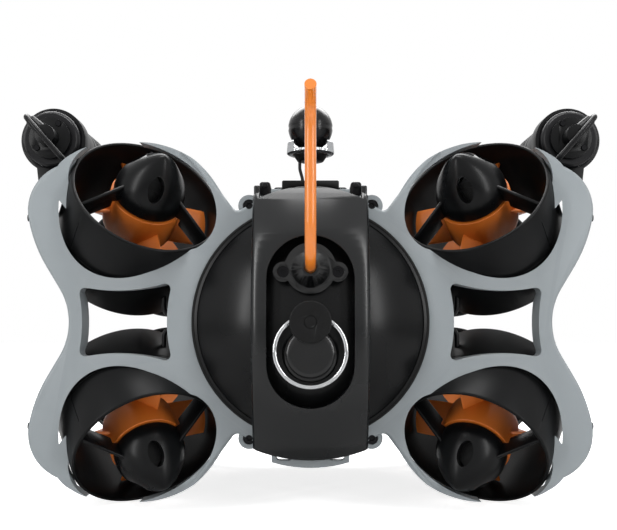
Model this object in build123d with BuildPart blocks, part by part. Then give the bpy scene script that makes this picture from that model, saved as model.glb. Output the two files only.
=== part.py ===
"""An underwater inspection vehicle: a pressure hull between two moulded frames that carry eight ducted thrusters.

Millimetres, +Z up, +Y towards the bow, +X to starboard. The origin is on the surface that the vehicle rests
on, below the middle of the hull.
"""

from build123d import *
import os
from math import cos, radians, sin, sqrt, tan

os.makedirs("parts", exist_ok=True)

# Clearances
SEAT = 0.25  # between pieces that are fitted together
RUNNING = 0.05  # radial, between a shaft and its bore

# Frames
HALF_LENGTH = 140.0  # from the middle of the hull to a frame's outer face
FRAME_DEPTH = 25.0
FRAME_EDGE = 3.0  # rounding of the outer edges
RING_INNER = 105.4  # the hole round the hull
RING_OUTER = 118.0
WAIST_OUTER = 215.7  # the column at mid height
WAIST_INNER = 203.2
RING_WAIST = 127.7  # the hull ring at mid height
LOBE_TOP = 161.3
LOBE_SIDE = 251.5
LOBE_SIDE_Z = 94.0  # height of the lobe's widest point
COLUMN_NOTCH = 31.0  # the front frame is open this far above and below mid height
EAR_X = 54.7
EAR_Z = 103.7
EAR_RADIUS = 9.8
EAR_INSET = 3.0  # the ears lie behind the frame's face
WINDOW_CORNER = 32.0
WINDOW_FILLET = 5.0
CREASE_FILLET = 6.0
SCREW_RADIUS = 3.0
SCREW_HEAD_RADIUS = 5.6
SCREW_SINK = 6.0

# Accessory bracket under the rear frame
BRACKET_HALF_WIDTH = 34.5
BRACKET_DROP = 124.8
BRACKET_SAG = 5.0
BRACKET_DEPTH = 8.0
SLOT_SPACING = 46.5
SLOT_LENGTH = 14.8
SLOT_WIDTH = 6.2
SLOT_DROP = 120.0

# Hull
HULL_RADIUS = 112.0
HULL_EAR_RADIUS = 11.0
HULL_EAR_DEPTH = 14.0
DOME_RISE = 42.0  # the rear dome beyond the frame's face
GASKET_RADIUS = 1.6
GASKET_SEAT = 1.2  # the gasket stands this far into the dome's shoulder

# Cover strap over the rear dome
COVER_RADIUS = 121.0
COVER_HALF_WIDTH = 50.0
COVER_RISE = 50.0
COVER_END = 8.0  # thickness at its ends, over the frame
COVER_BEVEL = 3.0
WINDOW_WIDTH = 74.0
WINDOW_HEIGHT = 147.0

# Fastening of the cover at the top of the hull
LATCH_X = 40.5
LATCH_WIDTH = 9.6
LATCH_LOW = 112.6
LATCH_TOP = 124.6
BAR_WIDTH = 50.7
BAR_LOW = 117.9
BAR_TOP = 125.9
RAIL_WIDTH = 68.0
RAIL_TOP = 123.9
RAIL_START = 26.0  # ahead of the frame's face
RAIL_DEPTH = 30.0
LATCH_STEP = 1.6

# Tether and its gland
GLAND_Z = 45.0
GLAND_RADIUS = 21.5
GLAND_FLANGE = 46.0
GLAND_TOP = 58.0
CONE_RADIUS = 16.4
CONE_TIP_RADIUS = 7.2
GLAND_EAR_X = 23.0
GLAND_EAR_RADIUS = 8.4
GLAND_SCREW_RADIUS = 4.6
GLAND_SCREW_SINK = 5.0
THROAT_DEPTH = 16.0
TETHER_DIAMETER = 9.0

# Anchor for the lifting ring
RING_PIVOT_OUT = 54.0
RING_PIVOT_Z = 5.6
RING_RADIUS = 29.7  # to the middle of the wire
RING_WIDTH = 3.8
RING_THICK = 4.8
STEM_RADIUS = 9.5
CAP_RADIUS = 17.4
CAP_BACK = 8.3  # beyond the ring's plane
CAP_DEPTH = 4.6
CAP_DISC_RADIUS = 5.6
BOSS_Z = -27.0
BOSS_RADIUS = 24.0
BOSS_TOP = 50.6

# Thrusters, in the frame of the upper left one at the stern
NOZZLE_X = 148.0
NOZZLE_RISE = 116.5
NOZZLE_INSET = 22.0  # the rim's centre is this far ahead of the frame's face
NOZZLE_AXIS = (0.418, -0.669, 0.614)
NOZZLE_OUTER = 70.0
NOZZLE_WALL = 3.5
NOZZLE_LENGTH = 91.0
RIM_GAP = 1.0  # radial, round the rim
RING_GAP = 7.0  # the frame stands off the nozzle this far on its outboard side
POD_RADIUS = 32.0
POD_TIP = 48.0
POD_SHOULDER = 6.0
POD_BACK = -3.0
POD_CHEEK = 24.0  # how far the tail cone keeps its fullness
POD_NOSE = 7.0  # how blunt it ends
STATOR_RADIUS = 28.0
STATOR_END = -36.0
BELL_OUTER = 33.5
BELL_WALL = 4.0
BELL_START = -4.0
BELL_END = -44.0
SHAFT_RADIUS = 3.0
SHAFT_END = 9.0
FIN_THICK = 3.2
FIN_ANGLES = (101, 221, 341)
FIN_CREST = 20.0
FIN_CHORD = 22.0
PORT_RADIUS = 6.0
PORT_ROOT = 4.0
PORT_SLOPE = 52.0
PORT_FLOOR = 15.0
BLADE_COUNT = 4
BLADE_CHORD = 34.0
BLADE_TIP_GAP = 1.7
BLADE_THICK = 2.6
BLADE_CAMBER = 3.4
BLADE_PHASE = 20.0
ROOT_PITCH = 50.0
TIP_PITCH = 30.0
BLADE_MIDDLE = -31.0

# Lamps
LAMP_X = 240.0
LAMP_Z = 169.4
LAMP_RADIUS = 25.9
LAMP_INSET = 30.0  # ahead of the frame's face
LAMP_LENGTH = 124.0
LAMP_SEAM = 62.0
BEZEL_LENGTH = 13.0
LENS_THICK = 5.0
CLAMP_START = 38.0
CLAMP_WIDTH = 16.0
CLAMP_WALL = 4.0
CABLE_DIAMETER = 5.2
BEZEL_WALL = 6.0
CONNECTOR_RADIUS = 19.0
CONNECTOR_FLANGE = 4.0
ELBOW_RADIUS = 9.0
ELBOW_OUT = 13.0
ELBOW_REACH = 27.0
CONNECTOR_SCREWS = ((8.3, 13.0), (-11.4, -9.3))

# Leads and the screws of the rings
LEAD_DIAMETER = 4.2
LEAD_INSET = 42.0
RING_SCREW_RADIUS = 2.0
RING_SCREW_LENGTH = 20.0

# Beacon on the mast
BEACON_INSET = 40.0
BEACON_Z = 181.2
BEACON_RADIUS = 20.8
COLLAR_RADIUS = 22.3
COLLAR_LOW = 156.0
COLLAR_TOP = 168.0
MAST_RADIUS = 4.0
MAST_BASE_RADIUS = 16.0
MAST_BASE_Z = 150.0
COLLAR_RIBS = 24
BEACON_LEAD_DIAMETER = 3.0

# Bow
PORTHOLE_RADIUS = 86.0
PORTHOLE_WALL = 4.0
PORTHOLE_FOOT = 4.0
CAMERA_RADIUS = 24.0
CAMERA_OUT = 31.0
BARREL_RADIUS = 15.0
CAMERA_LENS_RADIUS = 11.0
CAMERA_LENS_DEPTH = 6.0
PIVOT_RADIUS = 3.0
BEZEL_RISE = 9.0
YOKE_THICK = 6.0
YOKE_WIDTH = 18.0
YOKE_X = 29.0
YOKE_ROOT = 10.0

# Derived sizes
BOW_REACH = RING_PIVOT_OUT + CAP_BACK + CAP_DEPTH  # both ends reach as far beyond the frames
NOZZLE_INNER = NOZZLE_OUTER - NOZZLE_WALL
LIP = NOZZLE_WALL / 2
RIM_SPREAD = sqrt(1 - NOZZLE_AXIS[2] ** 2)
AXIS_HEIGHT = NOZZLE_RISE - LIP * NOZZLE_AXIS[2] + (NOZZLE_OUTER - LIP) * RIM_SPREAD + LIP
HUB_CENTRE = (-NOZZLE_X, -(HALF_LENGTH - NOZZLE_INSET), AXIS_HEIGHT + NOZZLE_RISE)
SPIGOT_RADIUS = RING_INNER - SEAT
DOME_FOOT = SPIGOT_RADIUS - GASKET_SEAT
DOME_SPHERE = (DOME_FOOT**2 + DOME_RISE**2) / (2 * DOME_RISE)

STEM_EYE = RING_RADIUS - sqrt((RING_RADIUS - RING_WIDTH / 2) ** 2 - STEM_RADIUS**2) + 2 * SEAT  # the ring lies in it
RING_SCREW = (-LOBE_SIDE - 1, -(HALF_LENGTH - FRAME_DEPTH / 2), AXIS_HEIGHT + LOBE_SIDE_Z)
EARS = [(x, z) for x in (-EAR_X, EAR_X) for z in (-EAR_Z, EAR_Z)]


def stern(out):
    """The plane seen from astern, this far aft of the rear frame's face, with its origin on the hull's axis."""
    return Plane(origin=(0, -(HALF_LENGTH + out), AXIS_HEIGHT), x_dir=(1, 0, 0), z_dir=(0, -1, 0))


def bow(out):
    """The plane seen from ahead, this far beyond the front frame's face, with its origin on the hull's axis."""
    return Plane(origin=(0, HALF_LENGTH + out, AXIS_HEIGHT), x_dir=(-1, 0, 0), z_dir=(0, 1, 0))


PROFILE = Plane(origin=(0, 0, AXIS_HEIGHT), x_dir=(0, -1, 0), z_dir=(1, 0, 0))  # x aft, y up: the side view
HULL_AXIS = Axis((0, 0, AXIS_HEIGHT), (0, 1, 0))
AMIDSHIPS = Plane.XZ
CENTRE = Plane.YZ
MID_HEIGHT = Plane(origin=(0, 0, AXIS_HEIGHT))
THRUSTER = Plane(origin=HUB_CENTRE, x_dir=(0.903, 0.227, -0.368), z_dir=NOZZLE_AXIS)


def dome_out(z, lift=0.0):
    """How far aft of the frame's face the rear dome, or a surface that far above it, lies at a height."""
    return DOME_RISE - DOME_SPHERE + sqrt((DOME_SPHERE + lift) ** 2 - z**2)


def dome_point(z, lift=0.0):
    """The same as a point of the side view."""
    return (HALF_LENGTH + dome_out(z, lift), z)


def save(part, name):
    """Label a finished piece and write it."""
    part.label = name
    export_step(part, f"parts/{name}.step")


# What the upper left nozzle at the stern takes up in its frame: its own cylinder, and the way out aft of its rim
with BuildPart(mode=Mode.PRIVATE) as envelope:
    with BuildSketch(THRUSTER):
        Circle(NOZZLE_OUTER + SEAT)
    extrude(amount=-NOZZLE_LENGTH)
    with BuildSketch(THRUSTER):
        Circle(NOZZLE_OUTER + RIM_GAP)
    extrude(amount=2 * NOZZLE_INSET + NOZZLE_OUTER, dir=(0, -1, 0))
clearing = envelope.part + Pos(-RING_GAP, 0, -RING_GAP / 3) * envelope.part
clearing += mirror(clearing, about=MID_HEIGHT)
clearing += mirror(clearing, about=CENTRE)

# Frames
for end, face, ducts in (("rear", stern, clearing), ("front", bow, mirror(clearing, about=AMIDSHIPS))):
    with BuildPart() as frame:
        with BuildSketch(face(-FRAME_DEPTH)) as plate:
            with BuildLine():
                waist = TangentArc((-WAIST_OUTER, 0), (-WAIST_OUTER - 8.3, 30), tangent=(0, 1))
                shoulder = Line(waist @ 1, waist @ 1 + 22 * (waist % 1))
                cheek = TangentArc(shoulder @ 1, (-LOBE_SIDE, LOBE_SIDE_Z - 2), tangent=shoulder % 1)
                crown = TangentArc(cheek @ 1, (-223, 140), tangent=cheek % 1)
                top = TangentArc(crown @ 1, (-158, LOBE_TOP), tangent=crown % 1)
                brow = TangentArc(top @ 1, (-97, 139), tangent=top % 1)
                flank = Line(brow @ 1, (-64.5, 95.5))
                Polyline(flank @ 1, (-40, 80), (-40, 0), waist @ 0)
            make_face()
            mirror(about=Plane.XZ)
            mirror(about=Plane.YZ)
            Circle(RING_OUTER)
            fillet(plate.vertices().filter_by(lambda corner: abs(corner.X) < 90), CREASE_FILLET)
        extrude(amount=FRAME_DEPTH)
        rim = frame.faces().filter_by(Axis.Y).sort_by(Axis.Y)[0 if end == "rear" else -1]
        fillet(rim.outer_wire().edges(), FRAME_EDGE)
        with BuildSketch(face(-FRAME_DEPTH)):
            with Locations(*EARS):
                Circle(EAR_RADIUS)
        extrude(amount=FRAME_DEPTH - EAR_INSET)
        if end == "rear":
            with BuildSketch(face(0)):
                with BuildLine():
                    sole = ThreePointArc(
                        (-BRACKET_HALF_WIDTH, -BRACKET_DROP),
                        (0, -BRACKET_DROP - BRACKET_SAG),
                        (BRACKET_HALF_WIDTH, -BRACKET_DROP),
                    )
                    Polyline(sole @ 1, (BRACKET_HALF_WIDTH, -110), (-BRACKET_HALF_WIDTH, -110), sole @ 0)
                make_face()
                with Locations((-SLOT_SPACING / 2, -SLOT_DROP), (SLOT_SPACING / 2, -SLOT_DROP)):
                    SlotOverall(SLOT_LENGTH, SLOT_WIDTH, mode=Mode.SUBTRACT)
            extrude(amount=-BRACKET_DEPTH)
        with BuildSketch(face(0)):
            Circle(RING_INNER)
        extrude(amount=-FRAME_DEPTH, mode=Mode.SUBTRACT)
        with BuildSketch(face(0)) as windows:
            with BuildLine():
                arm = ThreePointArc((-206.9, WINDOW_CORNER), (-173, 28), (-122.3, 36.8))
                hub = ThreePointArc(arm @ 1, (-RING_WAIST, 0), (-122.3, -36.8))
                sill = ThreePointArc(hub @ 1, (-173, -28), (-206.9, -WINDOW_CORNER))
                ThreePointArc(sill @ 1, (-WAIST_INNER, 0), arm @ 0)
            make_face()
            if end == "front":
                with Locations((-WAIST_OUTER - 20, 0)):
                    Rectangle(80, 2 * COLUMN_NOTCH)
            if end == "rear":
                fillet(windows.vertices(), WINDOW_FILLET)
            mirror(about=Plane.YZ)
        extrude(amount=-FRAME_DEPTH, mode=Mode.SUBTRACT)
        add(ducts, mode=Mode.SUBTRACT)
        with BuildSketch(face(-EAR_INSET)):
            with Locations(*EARS):
                Circle(SCREW_HEAD_RADIUS + SEAT)
        extrude(amount=-SCREW_SINK, mode=Mode.SUBTRACT)
        with BuildSketch(face(0)):
            with Locations(*EARS):
                Circle(SCREW_RADIUS + SEAT)
        extrude(amount=-FRAME_DEPTH, mode=Mode.SUBTRACT)
        for side in (-1, 1):
            for level in (-1, 1):
                seat = face(-FRAME_DEPTH / 2).from_local_coords(Vector(side * LOBE_SIDE, level * LOBE_SIDE_Z, 0))
                with BuildSketch(Plane(origin=seat, x_dir=(0, 1, 0), z_dir=(1, 0, 0))):
                    Circle(RING_SCREW_RADIUS + SEAT)
                extrude(amount=RING_SCREW_LENGTH + 12, both=True, mode=Mode.SUBTRACT)
    save(frame.part, f"{end}_frame")

# Screws that hold the frames to the hull's ears
with BuildPart() as frame_screws:
    for face in (stern, bow):
        with BuildSketch(face(-EAR_INSET - SCREW_SINK)):
            with Locations(*EARS):
                Circle(SCREW_HEAD_RADIUS)
        extrude(amount=SCREW_SINK - 1)
        with BuildSketch(face(-EAR_INSET - 1)):
            with Locations(*EARS):
                RegularPolygon(SCREW_RADIUS, 6)
        extrude(amount=-SCREW_SINK / 2, mode=Mode.SUBTRACT)
        with BuildSketch(face(-EAR_INSET - SCREW_SINK)):
            with Locations(*EARS):
                Circle(SCREW_RADIUS)
        extrude(amount=-(FRAME_DEPTH - EAR_INSET - SCREW_SINK + HULL_EAR_DEPTH - 2))
save(frame_screws.part, "frame_screws")

# Hull: a closed drum with a spigot at each end for the frames
with BuildPart() as hull:
    with BuildSketch(PROFILE):
        with BuildLine():
            shoulder = HALF_LENGTH - FRAME_DEPTH - SEAT
            Polyline(
                (-HALF_LENGTH, 0),
                (-HALF_LENGTH, SPIGOT_RADIUS),
                (-shoulder, SPIGOT_RADIUS),
                (-shoulder, HULL_RADIUS),
                (shoulder, HULL_RADIUS),
                (shoulder, SPIGOT_RADIUS),
                (HALF_LENGTH, SPIGOT_RADIUS),
                (HALF_LENGTH, 0),
                close=True,
            )
        make_face()
    revolve(axis=HULL_AXIS)
    for face in (stern, bow):
        with BuildSketch(face(-FRAME_DEPTH - SEAT)):
            with Locations(*EARS):
                Circle(HULL_EAR_RADIUS)
        extrude(amount=-HULL_EAR_DEPTH)
        with BuildSketch(face(-FRAME_DEPTH - SEAT)):
            with Locations(*EARS):
                Circle(SCREW_RADIUS + SEAT)
        extrude(amount=-HULL_EAR_DEPTH, mode=Mode.SUBTRACT)
    with BuildSketch(bow(0)):
        with Locations((-YOKE_X, 0), (YOKE_X, 0)):
            Rectangle(YOKE_THICK + 2 * SEAT, YOKE_WIDTH + 2 * SEAT)
    extrude(amount=-YOKE_ROOT, mode=Mode.SUBTRACT)
save(hull.part, "hull")

# Rear dome, with a groove in its shoulder for the gasket
with BuildPart() as rear_dome:
    with BuildSketch(PROFILE):
        with BuildLine():
            crown = ThreePointArc(dome_point(DOME_FOOT - 2), dome_point(DOME_FOOT / 2), dome_point(0))
            Polyline(crown @ 1, (HALF_LENGTH + SEAT, 0), (HALF_LENGTH + SEAT, DOME_FOOT - 2), crown @ 0)
        make_face()
    revolve(axis=HULL_AXIS)
save(rear_dome.part, "rear_dome")

with BuildPart() as gasket:
    with Locations(Location(stern(GASKET_RADIUS + SEAT))):
        Torus(SPIGOT_RADIUS - GASKET_RADIUS + 2 * SEAT, GASKET_RADIUS)
    add(rear_dome.part, mode=Mode.SUBTRACT)
save(gasket.part, "gasket")

# Cover strap: a bevelled barrel cut to a round band, open over the tether gland and the lifting ring
with BuildPart() as cover:
    with BuildSketch(CENTRE):
        with BuildLine():
            end_z = COVER_RADIUS + COVER_END
            barrel = ThreePointArc(
                (-HALF_LENGTH - COVER_END, AXIS_HEIGHT + end_z),
                (-HALF_LENGTH - COVER_RISE, AXIS_HEIGHT),
                (-HALF_LENGTH - COVER_END, AXIS_HEIGHT - end_z),
            )
            Polyline(
                barrel @ 1,
                (-HALF_LENGTH - SEAT, AXIS_HEIGHT - end_z),
                (-HALF_LENGTH - SEAT, AXIS_HEIGHT + end_z),
                barrel @ 0,
            )
        make_face()
    extrude(amount=COVER_HALF_WIDTH, both=True)
    chamfer(cover.edges().filter_by(GeomType.CIRCLE), COVER_BEVEL)
    with BuildSketch(stern(0)):
        Circle(COVER_RADIUS)
    extrude(amount=2 * COVER_RISE, mode=Mode.INTERSECT)
    with BuildSketch(stern(0)):
        SlotOverall(WINDOW_HEIGHT, WINDOW_WIDTH, rotation=90)
    extrude(amount=2 * COVER_RISE, mode=Mode.SUBTRACT)
    with BuildSketch(PROFILE):
        with BuildLine():
            lining = ThreePointArc(dome_point(SPIGOT_RADIUS - 3, SEAT), dome_point(50, SEAT), dome_point(0, SEAT))
            Polyline(
                lining @ 1,
                (HALF_LENGTH - 1, 0),
                (HALF_LENGTH - 1, SPIGOT_RADIUS + 2),
                (HALF_LENGTH + 2 * GASKET_RADIUS + 2 * SEAT, SPIGOT_RADIUS + 2),
                (HALF_LENGTH + 2 * GASKET_RADIUS + 2 * SEAT, SPIGOT_RADIUS - 3),
                lining @ 0,
            )
        make_face()
    revolve(axis=HULL_AXIS, mode=Mode.SUBTRACT)
save(cover.part, "cover")

# Top of the hull behind the cover: a rail, its bar and the two latches of the cover
with BuildPart() as top_rail:
    with BuildSketch(stern(-RAIL_START)):
        with Locations((0, (HULL_RADIUS + RAIL_TOP) / 2)):
            Rectangle(RAIL_WIDTH, RAIL_TOP - HULL_RADIUS)
        Circle(HULL_RADIUS + SEAT, mode=Mode.SUBTRACT)
    extrude(amount=-RAIL_DEPTH)
    fillet(top_rail.edges().filter_by(Axis.Y).group_by(Axis.Z)[-1], 3)
save(top_rail.part, "top_rail")

with BuildPart() as top_bar:
    with BuildSketch(stern(SEAT)):
        with Locations((0, (BAR_LOW + SEAT + BAR_TOP) / 2)):
            RectangleRounded(BAR_WIDTH, BAR_TOP - BAR_LOW - SEAT, 1.5)
        Circle(COVER_RADIUS + SEAT, mode=Mode.SUBTRACT)
    extrude(amount=-RAIL_START)
save(top_bar.part, "top_bar")

with BuildPart() as latch_blocks:
    for side in (-1, 1):
        with BuildSketch(stern(0)):
            with Locations((side * LATCH_X, (LATCH_LOW + LATCH_TOP) / 2)):
                RectangleRounded(LATCH_WIDTH, LATCH_TOP - LATCH_LOW, 2.5)
            Circle(RING_OUTER + SEAT, mode=Mode.SUBTRACT)
        extrude(amount=-RAIL_START)
        with BuildSketch(stern(LATCH_STEP)):
            with Locations((side * LATCH_X, LATCH_TOP - 3)):
                Circle(2.4)
        extrude(amount=-LATCH_STEP)
save(latch_blocks.part, "latch_blocks")

# Tether gland: a flange with two ears, a cone and a throat
throat = TETHER_DIAMETER / 2 + SEAT / 5
with BuildPart() as tether_gland:
    with BuildSketch(stern(dome_out(GLAND_Z) - 12)):
        with Locations((0, GLAND_Z)):
            Circle(GLAND_RADIUS)
        with Locations((-GLAND_EAR_X, GLAND_Z - 3), (GLAND_EAR_X, GLAND_Z - 3)):
            Circle(GLAND_EAR_RADIUS)
    extrude(amount=GLAND_FLANGE - dome_out(GLAND_Z) + 12)
    with BuildSketch(stern(GLAND_FLANGE)) as root:
        with Locations((0, GLAND_Z)):
            Circle(CONE_RADIUS)
    with BuildSketch(stern(GLAND_TOP)):
        with Locations((0, GLAND_Z)):
            Circle(CONE_TIP_RADIUS)
    loft()
    with BuildSketch(stern(GLAND_TOP)):
        with Locations((0, GLAND_Z)):
            Circle(throat)
    extrude(amount=-THROAT_DEPTH, mode=Mode.SUBTRACT)
    with BuildSketch(stern(GLAND_FLANGE)):
        with Locations((-GLAND_EAR_X, GLAND_Z - 3), (GLAND_EAR_X, GLAND_Z - 3)):
            Circle(GLAND_SCREW_RADIUS + SEAT)
    extrude(amount=-GLAND_SCREW_SINK, mode=Mode.SUBTRACT)
    with BuildSketch(PROFILE):
        with BuildLine():
            foot = ThreePointArc(dome_point(SPIGOT_RADIUS - 3, SEAT), dome_point(50, SEAT), dome_point(0, SEAT))
            Polyline(foot @ 1, (HALF_LENGTH - 1, 0), (HALF_LENGTH - 1, SPIGOT_RADIUS - 3), foot @ 0)
        make_face()
    revolve(axis=HULL_AXIS, mode=Mode.SUBTRACT)
save(tether_gland.part, "tether_gland")

with BuildPart() as gland_screws:
    with BuildSketch(stern(GLAND_FLANGE - GLAND_SCREW_SINK)):
        with Locations((-GLAND_EAR_X, GLAND_Z - 3), (GLAND_EAR_X, GLAND_Z - 3)):
            Circle(GLAND_SCREW_RADIUS)
    extrude(amount=GLAND_SCREW_SINK - 1)
    with BuildSketch(stern(GLAND_FLANGE - 1)):
        with Locations((-GLAND_EAR_X, GLAND_Z - 3), (GLAND_EAR_X, GLAND_Z - 3)):
            RegularPolygon(GLAND_SCREW_RADIUS / 2, 6)
    extrude(amount=-GLAND_SCREW_SINK / 2, mode=Mode.SUBTRACT)
save(gland_screws.part, "gland_screws")

# Tether: straight runs joined by tangent arcs, as out and height from the hull's axis
route = [(58, 45), (84, 45), (101, 64), (104, 93), (104.5, 122), (102, 148), (110, 167), (134, 174.6)]
tether_points = [(0, -HALF_LENGTH - out, AXIS_HEIGHT + z) for out, z in [(GLAND_TOP - THROAT_DEPTH, GLAND_Z)] + route[1:]]
legs = [Vector(*b) - Vector(*a) for a, b in zip(tether_points, tether_points[1:])]
bends = [
    0.45 * min(before.length, after.length) / tan(radians(before.get_angle(after) / 2))
    for before, after in zip(legs, legs[1:])
]
print("tether bend radii", [round(bend, 1) for bend in bends])
with BuildPart() as tether:
    with BuildLine() as tether_line:
        FilletPolyline(*tether_points, radius=bends)
    with BuildSketch(Plane(origin=tether_points[0], z_dir=legs[0])):
        Circle(TETHER_DIAMETER / 2)
    sweep()
print("tether length", round(tether_line.wire().length, 1))
save(tether.part, "tether")

# Boss behind the lifting ring
with BuildPart() as swivel_boss:
    with BuildSketch(stern(0)):
        with Locations((0, BOSS_Z)):
            Circle(BOSS_RADIUS)
    extrude(amount=BOSS_TOP)
    fillet(swivel_boss.faces().filter_by(Axis.Y).sort_by(Axis.Y)[0].edges(), 8)
    with BuildSketch(PROFILE):
        with BuildLine():
            foot = ThreePointArc(dome_point(SPIGOT_RADIUS - 3, SEAT), dome_point(50, SEAT), dome_point(0, SEAT))
            Polyline(foot @ 1, (HALF_LENGTH - 1, 0), (HALF_LENGTH - 1, SPIGOT_RADIUS - 3), foot @ 0)
        make_face()
    revolve(axis=HULL_AXIS, mode=Mode.SUBTRACT)
    with BuildSketch(stern(0)):
        with Locations((0, RING_PIVOT_Z)):
            Circle(STEM_RADIUS + SEAT)
    extrude(amount=2 * BOSS_TOP, mode=Mode.SUBTRACT)
save(swivel_boss.part, "swivel_boss")

# Vent plug: its stem carries the lifting ring
with BuildPart() as vent_plug:
    with BuildSketch(stern(dome_out(RING_PIVOT_Z, SEAT))):
        with Locations((0, RING_PIVOT_Z)):
            Circle(STEM_RADIUS)
    extrude(amount=RING_PIVOT_OUT + CAP_BACK - dome_out(RING_PIVOT_Z, SEAT))
    with BuildSketch(stern(RING_PIVOT_OUT + CAP_BACK)):
        with Locations((0, 0)):
            Circle(CAP_RADIUS)
    extrude(amount=CAP_DEPTH)
    fillet(vent_plug.faces().filter_by(Axis.Y).sort_by(Axis.Y)[0].edges(), 1.2)
    with BuildSketch(stern(RING_PIVOT_OUT + CAP_BACK + CAP_DEPTH)):
        Circle(CAP_DISC_RADIUS)
        Circle(CAP_DISC_RADIUS - 1, mode=Mode.SUBTRACT)
    extrude(amount=-1, mode=Mode.SUBTRACT)
    with Locations(Location((0, -HALF_LENGTH - RING_PIVOT_OUT, AXIS_HEIGHT + RING_PIVOT_Z), (0, 90, 0))):
        Cylinder(STEM_EYE, 4 * STEM_RADIUS, mode=Mode.SUBTRACT)
save(vent_plug.part, "vent_plug")

# Lifting ring: two turns of wire side by side
with BuildPart() as lifting_ring:
    ring_plane = Plane(
        origin=(0, -HALF_LENGTH - RING_PIVOT_OUT, AXIS_HEIGHT + RING_PIVOT_Z - RING_RADIUS),
        x_dir=(1, 0, 0),
        z_dir=(0, -1, 0),
    )
    with BuildSketch(Plane(origin=ring_plane.origin, x_dir=(1, 0, 0), z_dir=(0, 0, 1))):
        with Locations((RING_RADIUS, RING_THICK / 4), (RING_RADIUS, -RING_THICK / 4)):
            SlotOverall(RING_WIDTH, RING_THICK / 2 + 0.02)
    revolve(axis=Axis(ring_plane.origin, (0, 1, 0)))
save(lifting_ring.part, "lifting_ring")

# Thrusters, made about their own axis and then placed at the upper left of the stern and mirrored


def radial(angle):
    """A thruster's side view at an angle about its axis: x outward, y aft along the axis."""
    turn = radians(angle)
    return Plane(origin=(0, 0, 0), x_dir=(cos(turn), sin(turn), 0), z_dir=(sin(turn), -cos(turn), 0))


def slanted(angle, slope):
    """A plane through the root of the water ports, facing outward at a slope from the thruster's axis."""
    turn, lean = radians(angle), radians(slope)
    return Plane(
        origin=(0, 0, PORT_ROOT),
        x_dir=(-sin(turn), cos(turn), 0),
        z_dir=(cos(turn) * sin(lean), sin(turn) * sin(lean), cos(lean)),
    )


def blade_plane(angle, radius, pitch):
    """The plane of a blade's section at a radius, with x along its chord."""
    turn, lean = radians(angle), radians(pitch)
    return Plane(
        origin=(cos(turn) * radius, sin(turn) * radius, BLADE_MIDDLE),
        x_dir=(-sin(turn) * cos(lean), cos(turn) * cos(lean), sin(lean)),
        z_dir=(cos(turn), sin(turn), 0),
    )


with BuildPart() as nozzle:
    with BuildSketch(radial(0)):
        with Locations(((NOZZLE_OUTER + NOZZLE_INNER) / 2, -NOZZLE_LENGTH / 2)):
            SlotOverall(NOZZLE_LENGTH, NOZZLE_WALL, rotation=90)
    revolve(axis=Axis.Z)

with BuildPart() as motor_pod:
    with BuildSketch(radial(0)):
        with BuildLine():
            ogive = Bezier(
                (POD_RADIUS, POD_SHOULDER), (POD_RADIUS - 1, POD_CHEEK), (POD_NOSE, POD_TIP), (0, POD_TIP)
            )
            Polyline(
                ogive @ 1,
                (0, STATOR_END),
                (STATOR_RADIUS, STATOR_END),
                (STATOR_RADIUS, POD_BACK),
                (POD_RADIUS, POD_BACK),
                ogive @ 0,
            )
        make_face()
    revolve(axis=Axis.Z)
    for angle in FIN_ANGLES:
        with BuildSketch(radial(angle)):
            Polygon(
                (POD_RADIUS - 10, FIN_CREST),
                (NOZZLE_INNER + 2, -LIP - 1),
                (NOZZLE_INNER + 2, -FIN_CHORD),
                (BELL_OUTER + 3, POD_BACK - 6),
                (BELL_OUTER + 3, POD_BACK),
                (POD_RADIUS - 10, POD_BACK),
                align=None,
            )
        extrude(amount=FIN_THICK / 2, both=True)
    with BuildSketch(Plane.XY.offset(-NOZZLE_LENGTH)):
        Circle(NOZZLE_INNER - SEAT / 2)
    extrude(amount=2 * NOZZLE_LENGTH, mode=Mode.INTERSECT)
    for angle in FIN_ANGLES:
        with BuildSketch(slanted(angle + 60, PORT_SLOPE).offset(PORT_FLOOR)):
            Circle(PORT_RADIUS)
        extrude(amount=POD_TIP, mode=Mode.SUBTRACT)
    with BuildSketch(Plane.XY.offset(STATOR_END)):
        Circle(SHAFT_RADIUS + RUNNING)
    extrude(amount=SHAFT_END + 1 - STATOR_END, mode=Mode.SUBTRACT)

with BuildPart() as propeller:
    with BuildSketch(radial(0)):
        with BuildLine():
            nose = ThreePointArc(
                (BELL_OUTER, BELL_END + 9), (BELL_OUTER - 3, BELL_END + 2), (BELL_OUTER - 11, BELL_END - 1)
            )
            Polyline(
                nose @ 1,
                (0, BELL_END - 1),
                (0, SHAFT_END),
                (SHAFT_RADIUS, SHAFT_END),
                (SHAFT_RADIUS, BELL_END + BELL_WALL),
                (BELL_OUTER - BELL_WALL, BELL_END + BELL_WALL),
                (BELL_OUTER - BELL_WALL, BELL_START),
                (BELL_OUTER, BELL_START),
                nose @ 0,
            )
        make_face()
    revolve(axis=Axis.Z)
    for blade in range(BLADE_COUNT):
        angle = 360 / BLADE_COUNT * blade + BLADE_PHASE
        for radius, pitch in ((BELL_OUTER - 1.5, ROOT_PITCH), (NOZZLE_INNER + 4, TIP_PITCH)):
            with BuildSketch(blade_plane(angle, radius, pitch)):
                Polygon(
                    (-BLADE_CHORD / 2, 0),
                    (0, BLADE_CAMBER - BLADE_THICK),
                    (BLADE_CHORD / 2, 0),
                    (0, BLADE_CAMBER),
                    align=None,
                )
        loft()
    with BuildSketch(Plane.XY.offset(-NOZZLE_LENGTH)):
        Circle(NOZZLE_INNER - BLADE_TIP_GAP)
    extrude(amount=2 * NOZZLE_LENGTH, mode=Mode.INTERSECT)

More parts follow.
